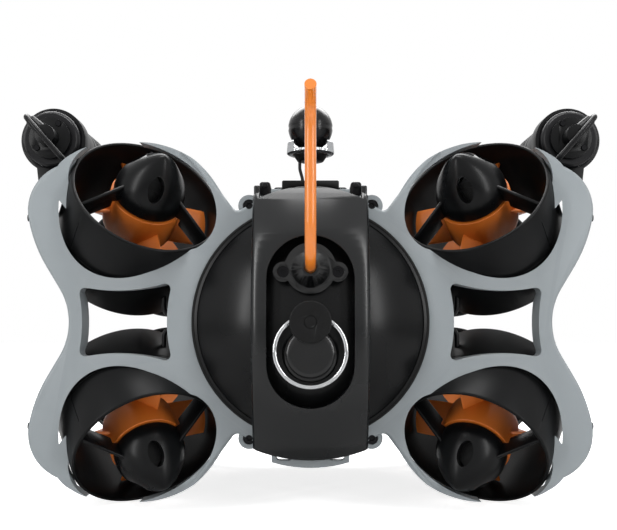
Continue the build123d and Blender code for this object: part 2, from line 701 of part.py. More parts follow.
for piece, kind in ((nozzle, "nozzle"), (motor_pod, "motor_pod"), (propeller, "propeller")):
    rear_upper_left = THRUSTER.location * piece.part
    for end in ("rear", "front"):
        for level in ("upper", "lower"):
            for side in ("left", "right"):
                placed = rear_upper_left
                if end == "front":
                    placed = mirror(placed, about=AMIDSHIPS)
                if level == "lower":
                    placed = mirror(placed, about=MID_HEIGHT)
                if side == "right":
                    placed = mirror(placed, about=CENTRE)
                save(placed, f"{kind}_{end}_{level}_{side}")

# Leads from the hull's sides to the nozzles, one to each motor
with BuildPart() as motor_lead:
    lead_plane = stern(-LEAD_INSET)
    lead_points = [lead_plane.from_local_coords(point) for point in ((-109, 4), (-127, 3), (-137.5, 9), (-137.5, 28))]
    with BuildLine():
        FilletPolyline(*lead_points, radius=[14, 9])
    with BuildSketch(Plane(origin=lead_points[0], z_dir=lead_points[1] - lead_points[0])):
        Circle(LEAD_DIAMETER / 2)
    sweep()
    add(hull.part, mode=Mode.SUBTRACT)
    add(envelope.part, mode=Mode.SUBTRACT)
motor_leads = motor_lead.part + mirror(motor_lead.part, about=MID_HEIGHT)
motor_leads += mirror(motor_leads, about=CENTRE)
motor_leads += mirror(motor_leads, about=AMIDSHIPS)
save(motor_leads, "motor_leads")

# Screws that pin each nozzle through its ring
with BuildPart() as ring_screw:
    with BuildSketch(Plane(origin=RING_SCREW, x_dir=(0, 1, 0), z_dir=(1, 0, 0))):
        Circle(RING_SCREW_RADIUS)
    extrude(amount=RING_SCREW_LENGTH)
    with BuildSketch(Plane(origin=RING_SCREW, x_dir=(0, 1, 0), z_dir=(1, 0, 0))):
        Circle(RING_SCREW_RADIUS + 1.2)
    extrude(amount=-2.4)
ring_screws = ring_screw.part + mirror(ring_screw.part, about=MID_HEIGHT)
ring_screws += mirror(ring_screws, about=CENTRE)
ring_screws += mirror(ring_screws, about=AMIDSHIPS)
save(ring_screws, "ring_screws")

# Lamps, made at the left and mirrored
lamp_face = Plane(
    origin=(-LAMP_X, -(HALF_LENGTH - LAMP_INSET), AXIS_HEIGHT + LAMP_Z), x_dir=(1, 0, 0), z_dir=(0, -1, 0)
)
lamp_profile = Plane(origin=lamp_face.origin, x_dir=(0, 1, 0), z_dir=(1, 0, 0))
lamp_axis = Axis(lamp_face.origin, (0, 1, 0))
barrel_end = LAMP_LENGTH - BEZEL_LENGTH
with BuildPart() as lamp_body:
    with BuildSketch(lamp_profile):
        Polygon(
            (0, 0),
            (0, LAMP_RADIUS - 2),
            (2, LAMP_RADIUS),
            (LAMP_SEAM - 1, LAMP_RADIUS),
            (LAMP_SEAM - 1, LAMP_RADIUS - 1),
            (LAMP_SEAM + 1, LAMP_RADIUS - 1),
            (LAMP_SEAM + 1, LAMP_RADIUS),
            (barrel_end, LAMP_RADIUS),
            (barrel_end, 0),
            align=None,
        )
    revolve(axis=lamp_axis)

with BuildPart() as lamp_bezel:
    with BuildSketch(lamp_profile):
        Polygon(
            (barrel_end + SEAT, LAMP_RADIUS - BEZEL_WALL),
            (barrel_end + SEAT, LAMP_RADIUS - 0.5),
            (LAMP_LENGTH - 2, LAMP_RADIUS - 0.5),
            (LAMP_LENGTH, LAMP_RADIUS - 2.5),
            (LAMP_LENGTH, LAMP_RADIUS - BEZEL_WALL),
            align=None,
        )
    revolve(axis=lamp_axis)

with BuildPart() as lamp_lens:
    with BuildSketch(lamp_face.offset(-LAMP_LENGTH + BEZEL_LENGTH / 2)):
        Circle(LAMP_RADIUS - BEZEL_WALL - SEAT)
    extrude(amount=LENS_THICK)

with BuildPart() as lamp_connector:
    with BuildSketch(lamp_face.offset(SEAT)):
        Circle(CONNECTOR_RADIUS)
    extrude(amount=CONNECTOR_FLANGE)
    with BuildSketch(lamp_face.offset(CONNECTOR_FLANGE)):
        Circle(ELBOW_RADIUS)
    extrude(amount=ELBOW_OUT + ELBOW_RADIUS - CONNECTOR_FLANGE - 2)
    elbow = lamp_face.offset(ELBOW_OUT).origin
    with BuildSketch(Plane(origin=elbow, x_dir=(0, 1, 0), z_dir=(-1, 0, 1))):
        Circle(ELBOW_RADIUS - 1.5)
    with BuildSketch(Plane(origin=elbow, x_dir=(0, 1, 0), z_dir=(-1, 0, 1)).offset(ELBOW_REACH)):
        Circle(CABLE_DIAMETER / 2 + 1.2)
    loft()
    with BuildSketch(lamp_face.offset(SEAT + CONNECTOR_FLANGE)):
        with Locations(*CONNECTOR_SCREWS):
            Circle(GLAND_SCREW_RADIUS / 2 + SEAT)
    extrude(amount=-CONNECTOR_FLANGE, mode=Mode.SUBTRACT)

with BuildPart() as connector_screw:
    with BuildSketch(lamp_face.offset(SEAT)):
        with Locations(*CONNECTOR_SCREWS):
            Circle(GLAND_SCREW_RADIUS / 2)
    extrude(amount=CONNECTOR_FLANGE + 1)

with BuildPart() as lamp_clamp:
    with BuildSketch(stern(-CLAMP_START)):
        with Locations((-LAMP_X, LAMP_Z)):
            Circle(LAMP_RADIUS + CLAMP_WALL)
        Polygon((-251, 101), (-245.5, 101), (-225, 150), (-256, 150), align=None)
        with Locations((-LAMP_X, LAMP_Z)):
            Circle(LAMP_RADIUS + SEAT, mode=Mode.SUBTRACT)
    extrude(amount=-CLAMP_WIDTH)
    with BuildSketch(stern(-FRAME_DEPTH - SEAT)):
        Polygon((-251, 101), (-245.5, 101), (-234, 128), (-251, 128), align=None)
    extrude(amount=-(CLAMP_START - FRAME_DEPTH))

lamp_route = [
    (-19, 19, 13),
    (-27, 27, 15),
    (-29, 27, 28),
    (-12, 9, 37),
    (9, -13, 33),
    (19, -25, 14),
    (21, -27.5, -8),
    (21, -27.5, -52),
    (21, -27, -84),
    (34, -25, -110),
    (72, -34, -114),
    (112, -54, -112),
    (145, -75, -110),
    (160, -89.5, -110),
]
cable_points = [lamp_face.from_local_coords(Vector(x, z, out)) for x, z, out in lamp_route]
cable_legs = [after - before for before, after in zip(cable_points, cable_points[1:])]
cable_bends = [
    0.45 * min(before.length, after.length) / tan(radians(before.get_angle(after) / 2))
    for before, after in zip(cable_legs, cable_legs[1:])
]
print("lamp cable bend radii", [round(bend, 1) for bend in cable_bends])
with BuildPart() as lamp_cable:
    with BuildLine():
        FilletPolyline(*cable_points, radius=cable_bends)
    with BuildSketch(Plane(origin=cable_points[0], z_dir=cable_legs[0])):
        Circle(CABLE_DIAMETER / 2)
    sweep()
    add(hull.part, mode=Mode.SUBTRACT)
    add(lamp_connector.part, mode=Mode.SUBTRACT)

for piece, kind in ((lamp_body, "lamp_body"), (lamp_clamp, "lamp_clamp")):
    save(piece.part, f"{kind}_left")
    save(mirror(piece.part, about=CENTRE), f"{kind}_right")
for piece, name in (
    (lamp_bezel, "lamp_bezels"),
    (lamp_lens, "lamp_lenses"),
    (lamp_connector, "lamp_connectors"),
    (connector_screw, "connector_screws"),
    (lamp_cable, "lamp_cables"),
):
    save(piece.part + mirror(piece.part, about=CENTRE), name)

# Beacon: a ball held in a ribbed collar on a mast
beacon_foot = Plane(origin=(0, -(HALF_LENGTH - BEACON_INSET), AXIS_HEIGHT))
with BuildPart() as beacon_ball:
    with Locations(beacon_foot.offset(BEACON_Z).origin):
        Sphere(BEACON_RADIUS)

with BuildPart() as beacon_collar:
    with BuildSketch(beacon_foot.offset(COLLAR_LOW)):
        Circle(COLLAR_RADIUS)
        with PolarLocations(COLLAR_RADIUS, COLLAR_RIBS):
            Circle(1.0, mode=Mode.SUBTRACT)
    extrude(amount=COLLAR_TOP - COLLAR_LOW)
    with Locations(beacon_foot.offset(BEACON_Z).origin):
        Sphere(BEACON_RADIUS + SEAT, mode=Mode.SUBTRACT)

with BuildPart() as beacon_mast:
    with BuildSketch(beacon_foot.offset(RAIL_TOP + SEAT)):
        Circle(MAST_RADIUS)
    extrude(amount=MAST_BASE_Z - RAIL_TOP - SEAT)
    with BuildSketch(beacon_foot.offset(MAST_BASE_Z)):
        Circle(MAST_BASE_RADIUS - 4)
    with BuildSketch(beacon_foot.offset(COLLAR_LOW - SEAT)):
        Circle(MAST_BASE_RADIUS)
    loft()

with BuildPart() as beacon_lead:
    lead_route = [
        beacon_foot.from_local_coords(Vector(x, 0, z))
        for x, z in ((-10, MAST_BASE_Z + 1), (-10, 143), (-7.5, 134), (-7.5, RAIL_TOP + SEAT))
    ]
    with BuildLine():
        FilletPolyline(*lead_route, radius=[12, 12])
    with BuildSketch(Plane(origin=lead_route[0], z_dir=lead_route[1] - lead_route[0])):
        Circle(BEACON_LEAD_DIAMETER / 2)
    sweep()
    add(beacon_mast.part, mode=Mode.SUBTRACT)

save(beacon_ball.part, "beacon_ball")
save(beacon_collar.part, "beacon_collar")
save(beacon_mast.part, "beacon_mast")
save(beacon_lead.part, "beacon_lead")

# Bow: a clear dome in a bezel, and a camera that tilts between two arms
window_sphere = (PORTHOLE_RADIUS**2 + (BOW_REACH - PORTHOLE_FOOT) ** 2) / (2 * (BOW_REACH - PORTHOLE_FOOT))
window_middle = BOW_REACH - window_sphere


def window_point(radius, inset=0.0):
    """A point of the clear dome in the side view of the bow, at a radius from the hull's axis."""
    return (window_middle + sqrt((window_sphere - inset) ** 2 - radius**2), radius)


bow_profile = Plane(origin=(0, HALF_LENGTH, AXIS_HEIGHT), x_dir=(0, 1, 0), z_dir=(1, 0, 0))
with BuildPart() as front_window:
    with BuildSketch(bow_profile):
        with BuildLine():
            outside = ThreePointArc((PORTHOLE_FOOT, PORTHOLE_RADIUS), window_point(PORTHOLE_RADIUS / 2), (BOW_REACH, 0))
            inside = ThreePointArc(
                (BOW_REACH - PORTHOLE_WALL, 0),
                window_point(PORTHOLE_RADIUS / 2, PORTHOLE_WALL),
                (PORTHOLE_FOOT, PORTHOLE_RADIUS - PORTHOLE_WALL * 1.1),
            )
            Line(outside @ 1, inside @ 0)
            Polyline(inside @ 1, (SEAT, (inside @ 1).Y), (SEAT, PORTHOLE_RADIUS), outside @ 0)
        make_face()
    revolve(axis=HULL_AXIS)
save(front_window.part, "front_window")

with BuildPart() as front_bezel:
    with BuildSketch(bow_profile):
        Polygon(
            (SEAT, PORTHOLE_RADIUS + SEAT),
            (BEZEL_RISE, PORTHOLE_RADIUS + SEAT + 2),
            (BEZEL_RISE, PORTHOLE_RADIUS + 8),
            (SEAT + 3, SPIGOT_RADIUS),
            (SEAT, SPIGOT_RADIUS),
            align=None,
        )
    revolve(axis=HULL_AXIS)
save(front_bezel.part, "front_bezel")

camera_pivot = (0, HALF_LENGTH + CAMERA_OUT, AXIS_HEIGHT)
with BuildPart() as camera_yoke:
    for side in (-1, 1):
        with BuildSketch(Plane(origin=(side * YOKE_X, HALF_LENGTH, AXIS_HEIGHT), x_dir=(0, 1, 0), z_dir=(1, 0, 0))):
            with Locations(((CAMERA_OUT - YOKE_ROOT + SEAT) / 2, 0)):
                Rectangle(CAMERA_OUT + YOKE_ROOT - SEAT, YOKE_WIDTH)
            with Locations((CAMERA_OUT, 0)):
                Circle(YOKE_WIDTH / 2)
                Circle(PIVOT_RADIUS + RUNNING, mode=Mode.SUBTRACT)
        extrude(amount=YOKE_THICK / 2, both=True)
save(camera_yoke.part, "camera_yoke")

with BuildPart() as camera:
    with Locations(camera_pivot):
        Sphere(CAMERA_RADIUS)
    with BuildSketch(bow(CAMERA_OUT)):
        Circle(BARREL_RADIUS)
    extrude(amount=CAMERA_RADIUS + 1)
    with BuildSketch(bow(CAMERA_OUT + CAMERA_RADIUS + 1)):
        Circle(CAMERA_LENS_RADIUS + SEAT)
    extrude(amount=-CAMERA_LENS_DEPTH, mode=Mode.SUBTRACT)
    with BuildSketch(Plane(origin=camera_pivot, x_dir=(0, 1, 0), z_dir=(1, 0, 0))):
        Circle(PIVOT_RADIUS)
    extrude(amount=YOKE_X + YOKE_THICK / 2, both=True)
save(camera.part, "camera")

with BuildPart() as camera_lens:
    with BuildSketch(bow(CAMERA_OUT + CAMERA_RADIUS + 1 - CAMERA_LENS_DEPTH)):
        Circle(CAMERA_LENS_RADIUS)
    extrude(amount=CAMERA_LENS_DEPTH - 1)
    fillet(camera_lens.faces().filter_by(Axis.Y).sort_by(Axis.Y)[-1].edges(), 2)
save(camera_lens.part, "camera_lens")
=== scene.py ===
"""An underwater inspection vehicle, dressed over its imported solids.

The thrusters, domes, lamps, beacon and lifting ring are modelled here; the frames and the smaller fittings are
their solids with softened edges. Everything is in metres, in the frame of the solids.
"""

import logging
from collections.abc import Callable, Sequence
from dataclasses import dataclass
from enum import Enum
from math import cos, pi, radians, sin, sqrt, tau

import bpy
from mathutils import Matrix, Vector


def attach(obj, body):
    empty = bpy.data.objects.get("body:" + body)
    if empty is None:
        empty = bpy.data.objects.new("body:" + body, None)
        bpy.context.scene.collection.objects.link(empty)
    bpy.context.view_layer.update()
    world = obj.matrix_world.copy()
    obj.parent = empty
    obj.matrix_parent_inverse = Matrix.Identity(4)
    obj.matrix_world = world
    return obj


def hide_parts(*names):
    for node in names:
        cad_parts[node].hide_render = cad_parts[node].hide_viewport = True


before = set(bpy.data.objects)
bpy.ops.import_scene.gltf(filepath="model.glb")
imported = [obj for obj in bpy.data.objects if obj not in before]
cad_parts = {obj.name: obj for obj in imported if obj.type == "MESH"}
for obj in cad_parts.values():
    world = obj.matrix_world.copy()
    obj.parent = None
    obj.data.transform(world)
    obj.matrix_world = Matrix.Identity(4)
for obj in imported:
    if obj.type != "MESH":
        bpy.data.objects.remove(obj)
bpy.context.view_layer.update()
log = logging.getLogger("vehicle")

MM = 0.001
AXIS_HEIGHT = 0.1710456
HALF_LENGTH = 0.140
Point = tuple[float, float]


class Side(Enum):
    """Port or starboard, by the sign of X."""

    LEFT = -1
    RIGHT = 1


class Level(Enum):
    """Above or below the hull's axis."""

    UPPER = 1
    LOWER = -1


class End(Enum):
    """Stern or bow, by the sign of Y."""

    REAR = -1
    FRONT = 1


class Grain(Enum):
    """How a surface's fine relief runs."""

    EVEN = (1.0, 1.0, 1.0)
    ALONG_HULL = (1.0, 0.03, 1.0)
    AROUND_LAMP = (0.05, 1.0, 0.05)


class Nodes:
    """A small helper that adds and links the nodes of one tree."""

    def __init__(self, tree: bpy.types.NodeTree) -> None:
        """Keep the tree that the nodes go into."""
        self.tree = tree

    def add(self, kind: str, **settings: object) -> bpy.types.Node:
        """Add a node.

        Args:
            kind: The node's type.
            settings: Its properties by name.

        Returns:
            The new node.
        """
        node = self.tree.nodes.new(kind)
        for key, value in settings.items():
            setattr(node, key, value)
        return node

    def link(self, source: bpy.types.NodeSocket, target: bpy.types.NodeSocket) -> None:
        """Join an output to an input."""
        self.tree.links.new(source, target)

    def math(self, operation: str, first: object, second: object) -> bpy.types.NodeSocket:
        """Add a Math node.

        Args:
            operation: What it works out.
            first: A socket or a number.
            second: A socket or a number.

        Returns:
            Its output.
        """
        node = self.add("ShaderNodeMath", operation=operation)
        for socket, value in zip(node.inputs, (first, second)):
            if isinstance(value, bpy.types.NodeSocket):
                self.link(value, socket)
            else:
                socket.default_value = value
        return node.outputs[0]


class SurfaceGroups:
    """The shader groups that several finishes share."""

    @staticmethod
    def socket(tree: bpy.types.NodeTree, name: str, way: str, kind: str) -> None:
        """Give a group one more socket."""
        tree.interface.new_socket(name=name, in_out=way, socket_type=kind)

    @classmethod
    def moulded(cls) -> bpy.types.NodeTree:
        """The uneven tone, gloss and fine relief of a moulded or coated surface.

        Returns:
            The group, made the first time that it is asked for.
        """
        made = bpy.data.node_groups.get("moulded_surface")
        if made:
            return made
        tree = bpy.data.node_groups.new("moulded_surface", "ShaderNodeTree")
        for name, kind in (
            ("Vector", "NodeSocketVector"),
            ("Colour", "NodeSocketColor"),
            ("Mottle", "NodeSocketFloat"),
            ("Roughness", "NodeSocketFloat"),
            ("Grain", "NodeSocketFloat"),
        ):
            cls.socket(tree, name, "INPUT", kind)
        for name, kind in (
            ("Colour", "NodeSocketColor"),
            ("Roughness", "NodeSocketFloat"),
            ("Height", "NodeSocketFloat"),
        ):
            cls.socket(tree, name, "OUTPUT", kind)
        nodes = Nodes(tree)
        entry, leave = nodes.add("NodeGroupInput"), nodes.add("NodeGroupOutput")
        broad = nodes.add("ShaderNodeTexNoise")
        broad.inputs["Scale"].default_value = 11.0
        broad.inputs["Detail"].default_value = 4.0
        fine = nodes.add("ShaderNodeTexNoise")
        fine.inputs["Detail"].default_value = 2.0
        nodes.link(entry.outputs["Vector"], broad.inputs["Vector"])
        nodes.link(entry.outputs["Vector"], fine.inputs["Vector"])
        nodes.link(entry.outputs["Grain"], fine.inputs["Scale"])
        swing = nodes.math("SUBTRACT", broad.outputs["Fac"], 0.5)
        tone = nodes.math("MULTIPLY", swing, entry.outputs["Mottle"])
        tone = nodes.math("ADD", tone, 1.0)
        scaled = nodes.add("ShaderNodeVectorMath", operation="SCALE")
        nodes.link(entry.outputs["Colour"], scaled.inputs[0])
        nodes.link(tone, scaled.inputs["Scale"])
        nodes.link(scaled.outputs[0], leave.inputs["Colour"])
        gloss = nodes.math("MULTIPLY", swing, 0.22)
        gloss = nodes.math("ADD", gloss, entry.outputs["Roughness"])
        nodes.link(gloss, leave.inputs["Roughness"])
        nodes.link(fine.outputs["Fac"], leave.inputs["Height"])
        return tree

    @classmethod
    def rubbed(cls) -> bpy.types.NodeTree:
        """Paler edges where handling has polished a surface.

        Returns:
            The group, made the first time that it is asked for.
        """
        made = bpy.data.node_groups.get("rubbed_edges")
        if made:
            return made
        tree = bpy.data.node_groups.new("rubbed_edges", "ShaderNodeTree")
        for name, kind in (
            ("Colour", "NodeSocketColor"),
            ("Bend", "NodeSocketFloat"),
            ("Amount", "NodeSocketFloat"),
        ):
            cls.socket(tree, name, "INPUT", kind)
        cls.socket(tree, "Colour", "OUTPUT", "NodeSocketColor")
        nodes = Nodes(tree)
        entry, leave = nodes.add("NodeGroupInput"), nodes.add("NodeGroupOutput")
        edge = nodes.add("ShaderNodeMapRange")
        edge.inputs["From Min"].default_value = 0.55
        edge.inputs["From Max"].default_value = 0.68
        nodes.link(entry.outputs["Bend"], edge.inputs["Value"])
        share = nodes.math("MULTIPLY", edge.outputs["Result"], entry.outputs["Amount"])
        mix = nodes.add("ShaderNodeMix", data_type="RGBA")
        mix.inputs["B"].default_value = (0.62, 0.64, 0.65, 1.0)
        nodes.link(share, mix.inputs["Factor"])
        nodes.link(entry.outputs["Colour"], mix.inputs["A"])
        nodes.link(mix.outputs["Result"], leave.inputs["Colour"])
        return tree


@dataclass(frozen=True)
class Finish:
    """A solid surface: plastic, rubber or metal."""

    name: str
    slot: str
    colour: tuple[float, float, float]
    roughness: float
    metallic: float = 0.0
    mottle: float = 0.25
    grain: float = 900.0
    relief: float = 0.05
    rubbed: float = 0.12
    coat: float = 0.0
    specular: float = 0.5
    run: Grain = Grain.EVEN

    def material(self) -> bpy.types.Material:
        """Build the material, or find it if it is built.

        Returns:
            The material.
        """
        made = bpy.data.materials.get(self.name)
        if made:
            return made
        material = bpy.data.materials.new(self.name)
        material.use_nodes = True
        nodes = Nodes(material.node_tree)
        shader = material.node_tree.nodes["Principled BSDF"]
        shader.inputs["Metallic"].default_value = self.metallic
        shader.inputs["Specular IOR Level"].default_value = self.specular
        shader.inputs["Coat Weight"].default_value = self.coat
        shader.inputs["Coat Roughness"].default_value = 0.12
        place = nodes.add("ShaderNodeTexCoord")
        mapping = nodes.add("ShaderNodeMapping")
        mapping.inputs["Scale"].default_value = self.run.value
        nodes.link(place.outputs["Object"], mapping.inputs["Vector"])
        surface = nodes.add("ShaderNodeGroup", node_tree=SurfaceGroups.moulded())
        nodes.link(mapping.outputs["Vector"], surface.inputs["Vector"])
        surface.inputs["Colour"].default_value = (*self.colour, 1.0)
        surface.inputs["Mottle"].default_value = self.mottle
        surface.inputs["Roughness"].default_value = self.roughness
        surface.inputs["Grain"].default_value = self.grain
        edges = nodes.add("ShaderNodeGroup", node_tree=SurfaceGroups.rubbed())
        geometry = nodes.add("ShaderNodeNewGeometry")
        nodes.link(geometry.outputs["Pointiness"], edges.inputs["Bend"])
        nodes.link(surface.outputs["Colour"], edges.inputs["Colour"])
        edges.inputs["Amount"].default_value = self.rubbed
        bump = nodes.add("ShaderNodeBump")
        bump.inputs["Strength"].default_value = self.relief
        bump.inputs["Distance"].default_value = 0.0004
        nodes.link(surface.outputs["Height"], bump.inputs["Height"])
        nodes.link(edges.outputs["Colour"], shader.inputs["Base Color"])
        nodes.link(surface.outputs["Roughness"], shader.inputs["Roughness"])
        nodes.link(bump.outputs["Normal"], shader.inputs["Normal"])
        return material


@dataclass(frozen=True)
class ClearFinish:
    """A clear window or lens, with faint wipe marks."""

    name: str
    slot: str
    tint: tuple[float, float, float]
    roughness: float = 0.03
    ior: float = 1.49

    def material(self) -> bpy.types.Material:
        """Build the material, or find it if it is built.

        Returns:
            The material.
        """
        made = bpy.data.materials.get(self.name)
        if made:
            return made
        material = bpy.data.materials.new(self.name)
        material.use_nodes = True
        nodes = Nodes(material.node_tree)
        shader = material.node_tree.nodes["Principled BSDF"]
        shader.inputs["Base Color"].default_value = (*self.tint, 1.0)
        shader.inputs["Transmission Weight"].default_value = 1.0
        shader.inputs["IOR"].default_value = self.ior
        place = nodes.add("ShaderNodeTexCoord")
        smear = nodes.add("ShaderNodeTexNoise")
        smear.inputs["Scale"].default_value = 60.0
        nodes.link(place.outputs["Object"], smear.inputs["Vector"])
        haze = nodes.math("MULTIPLY", smear.outputs["Fac"], self.roughness)
        nodes.link(haze, shader.inputs["Roughness"])
        return material


FRAME_PLASTIC = Finish("grey frame plastic", "frame_grey", (0.265, 0.293, 0.308), 0.44, mottle=0.08, rubbed=0.10)
DOME_PLASTIC = Finish(
    "black dome", "dome_black", (0.004, 0.0042, 0.0045), 0.28, mottle=0.5, relief=0.02, rubbed=0.0, specular=0.16
)
COVER_PLASTIC = Finish(
    "cover plastic", "cover_grey", (0.004, 0.0045, 0.005), 0.27, mottle=0.3, relief=0.02, rubbed=0.05, specular=0.35
)
HULL_PLASTIC = Finish("hull skin", "hull_black", (0.005, 0.005, 0.006), 0.42, mottle=0.4, specular=0.12)
BLACK_PLASTIC = Finish("black fittings", "dark_plastic", (0.004, 0.0042, 0.0045), 0.34, mottle=0.4, rubbed=0.05, specular=0.15)
NOZZLE_PLASTIC = Finish(
    "nozzle plastic", "nozzle_dark", (0.004, 0.0042, 0.0045), 0.36, mottle=0.35, rubbed=0.12, specular=0.12
)
POD_PLASTIC = Finish(
    "pod plastic", "pod_dark", (0.003, 0.0032, 0.0035), 0.28, mottle=0.4, rubbed=0.03, specular=0.15
)
PROPELLER_PLASTIC = Finish(
    "propeller orange", "propeller_orange", (0.62, 0.155, 0.018), 0.42, mottle=0.25, rubbed=0.0
)
SHEATH = Finish("tether sheath", "tether_orange", (0.84, 0.23, 0.025), 0.24, mottle=0.12, rubbed=0.0, coat=0.5)
RUBBER = Finish(
    "seal rubber", "rubber_seal", (0.008, 0.008, 0.008), 0.6, grain=1500.0, relief=0.1, rubbed=0.0, specular=0.15
)
LEAD_SKIN = Finish("lead skin", "lead_black", (0.004, 0.004, 0.0045), 0.34, grain=1200.0, rubbed=0.0, specular=0.2)
STEEL = Finish("stainless screws", "steel", (0.014, 0.014, 0.015), 0.30, metallic=1.0, grain=2500.0, rubbed=0.0)
CHROME = Finish(
    "polished wire", "wire_chrome", (0.50, 0.51, 0.52), 0.12, metallic=1.0, mottle=0.5, relief=0.01, rubbed=0.0
)
LATCH_PLASTIC = Finish("latch grey", "latch_grey", (0.005, 0.005, 0.006), 0.34, rubbed=0.05, specular=0.2)
PLUG_PLASTIC = Finish("plug cap", "plug_grey", (0.006, 0.006, 0.0062), 0.46, relief=0.08, rubbed=0.05, specular=0.15)
LAMP_METAL = Finish(
    "anodised lamp", "lamp_black", (0.005, 0.005, 0.006), 0.34, specular=0.2, run=Grain.AROUND_LAMP, grain=1800.0
)
CLAMP_PLASTIC = Finish("clamp plastic", "clamp_grey", (0.005, 0.005, 0.0055), 0.40, mottle=0.3, rubbed=0.05, specular=0.15)
BEZEL_PAINT = Finish("bezel orange", "bezel_orange", (0.60, 0.15, 0.02), 0.36, rubbed=0.05)
BEACON_SHELL = Finish(
    "beacon shell", "beacon_shell", (0.003, 0.003, 0.0035), 0.24, mottle=0.3, rubbed=0.0, specular=0.25
)
BOW_METAL = Finish("bow bezel", "bezel_black", (0.010, 0.0105, 0.012), 0.34, metallic=0.1, specular=0.3)
CAMERA_SHELL = Finish("camera shell", "camera_black", (0.010, 0.010, 0.011), 0.34, specular=0.3)
COLLAR_METAL = Finish("collar metal", "wire_chrome", (0.40, 0.41, 0.42), 0.18, metallic=1.0, mottle=0.3, rubbed=0.0)
GLAND_PLASTIC = Finish(
    "gland plastic", "dark_plastic", (0.004, 0.0042, 0.0045), 0.22, mottle=0.3, rubbed=0.1, specular=0.4
)
CLEAR = ClearFinish("clear window", "clear_glass", (0.94, 0.97, 0.98))


class Bench:
    """The workshop steps that the pieces share."""

    @staticmethod
    def clear() -> None:
        """Leave edit mode and deselect everything."""
        if bpy.context.object and bpy.context.object.mode != "OBJECT":
            bpy.ops.object.mode_set(mode="OBJECT")
        bpy.ops.object.select_all(action="DESELECT")

    @staticmethod
    def pick(*pieces: bpy.types.Object) -> None:
        """Select some pieces, the first of them active."""
        Bench.clear()
        for piece in pieces:
            piece.select_set(True)
        bpy.context.view_layer.objects.active = pieces[0]

    @staticmethod
    def edit(piece: bpy.types.Object) -> None:
        """Go into edit mode with all of one piece selected."""
        Bench.pick(piece)
        bpy.ops.object.mode_set(mode="EDIT")
        bpy.ops.mesh.select_all(action="SELECT")

    @staticmethod
    def tidy(piece: bpy.types.Object) -> None:
        """Merge doubles, drop loose edges and turn all faces outwards."""
        Bench.edit(piece)
        bpy.ops.mesh.remove_doubles(threshold=1e-6)
        bpy.ops.mesh.delete_loose()
        bpy.ops.mesh.select_all(action="SELECT")
        bpy.ops.mesh.normals_make_consistent(inside=False)
        bpy.ops.object.mode_set(mode="OBJECT")

    @staticmethod
    def modified(piece: bpy.types.Object, kind: str, **settings: object) -> None:
        """Add a modifier and apply it.

        Args:
            piece: The piece.
            kind: The modifier's type.
            settings: Its properties by name.
        """
        Bench.pick(piece)
        modifier = piece.modifiers.new(kind.lower(), kind)
        for key, value in settings.items():
            setattr(modifier, key, value)
        bpy.ops.object.modifier_apply(modifier=modifier.name)

    @staticmethod
    def smooth(piece: bpy.types.Object, degrees: float = 32.0) -> None:
        """Shade a piece smoothly between its sharp edges."""
        Bench.pick(piece)
        bpy.ops.object.shade_smooth_by_angle(angle=radians(degrees))

    @staticmethod
    def outline(name: str, points: Sequence[Point], filled: bool) -> bpy.types.Object:
        """A closed outline in the XZ plane, from a circle whose corners are moved.

        Args:
            name: The piece's name.
            points: X and Z of each corner, in metres.
            filled: Whether it is a face or only its edges.

        Returns:
            The new piece.
        """
        Bench.clear()
        fill = "NGON" if filled else "NOTHING"
        bpy.ops.mesh.primitive_circle_add(vertices=len(points), radius=0.01, fill_type=fill)
        piece = bpy.context.object
        piece.name = piece.data.name = name
        for corner, (x, z) in zip(piece.data.vertices, points):
            corner.co = (x, 0.0, z)
        return piece

    @staticmethod
    def turned(name: str, profile: Sequence[Point], steps: int = 96) -> bpy.types.Object:
        """Spin a closed outline about Z.

        Args:
            name: The piece's name.
            profile: Radius and height of each corner, in metres.
            steps: How many steps the turn takes.

        Returns:
            The new piece.
        """
        piece = Bench.outline(name, profile, False)
        Bench.edit(piece)
        bpy.ops.mesh.spin(steps=steps, angle=tau, center=(0, 0, 0), axis=(0, 0, 1))
        bpy.ops.object.mode_set(mode="OBJECT")
        Bench.tidy(piece)
        return piece

    @staticmethod
    def plate(name: str, points: Sequence[Point], thickness: float) -> bpy.types.Object:
        """A flat plate in the XZ plane, as thick on each side of it.

        Args:
            name: The piece's name.
            points: X and Z of each corner.
            thickness: Its whole thickness.

        Returns:
            The new piece.
        """
        piece = Bench.outline(name, points, True)
        piece.data.transform(Matrix.Translation((0, -thickness / 2, 0)))
        Bench.edit(piece)
        bpy.ops.mesh.extrude_region_move(TRANSFORM_OT_translate={"value": (0, thickness, 0)})
        bpy.ops.object.mode_set(mode="OBJECT")
        Bench.tidy(piece)
        return piece

    @staticmethod
    def joined(name: str, pieces: Sequence[bpy.types.Object]) -> bpy.types.Object:
        """Join some pieces into one.

        Args:
            name: The name of the result.
            pieces: The pieces, the first of which takes the others in.

        Returns:
            The joined piece.
        """
        Bench.pick(*pieces)
        bpy.ops.object.join()
        piece = bpy.context.object
        piece.name = piece.data.name = name
        return piece

    @staticmethod
    def copy(piece: bpy.types.Object, name: str, place: Matrix) -> bpy.types.Object:
        """Copy a piece with its own mesh, put where a matrix says.

        Args:
            piece: The pattern.
            name: The copy's name.
            place: Where it goes; it may mirror.

        Returns:
            The copy.
        """
        made = piece.copy()
        made.data = piece.data.copy()
        made.name = made.data.name = name
        bpy.context.scene.collection.objects.link(made)
        made.data.transform(place)
        if place.determinant() < 0:
            made.data.flip_normals()
        return made

    @staticmethod
    def drop(*pieces: bpy.types.Object) -> None:
        """Remove patterns and cutters that are no longer needed."""
        for piece in pieces:
            bpy.data.objects.remove(piece)

    @staticmethod
    def dress(piece: bpy.types.Object, finish: Finish | ClearFinish) -> None:
        """Give a piece its one material."""
        piece.data.materials.clear()
        piece.data.materials.append(finish.material())

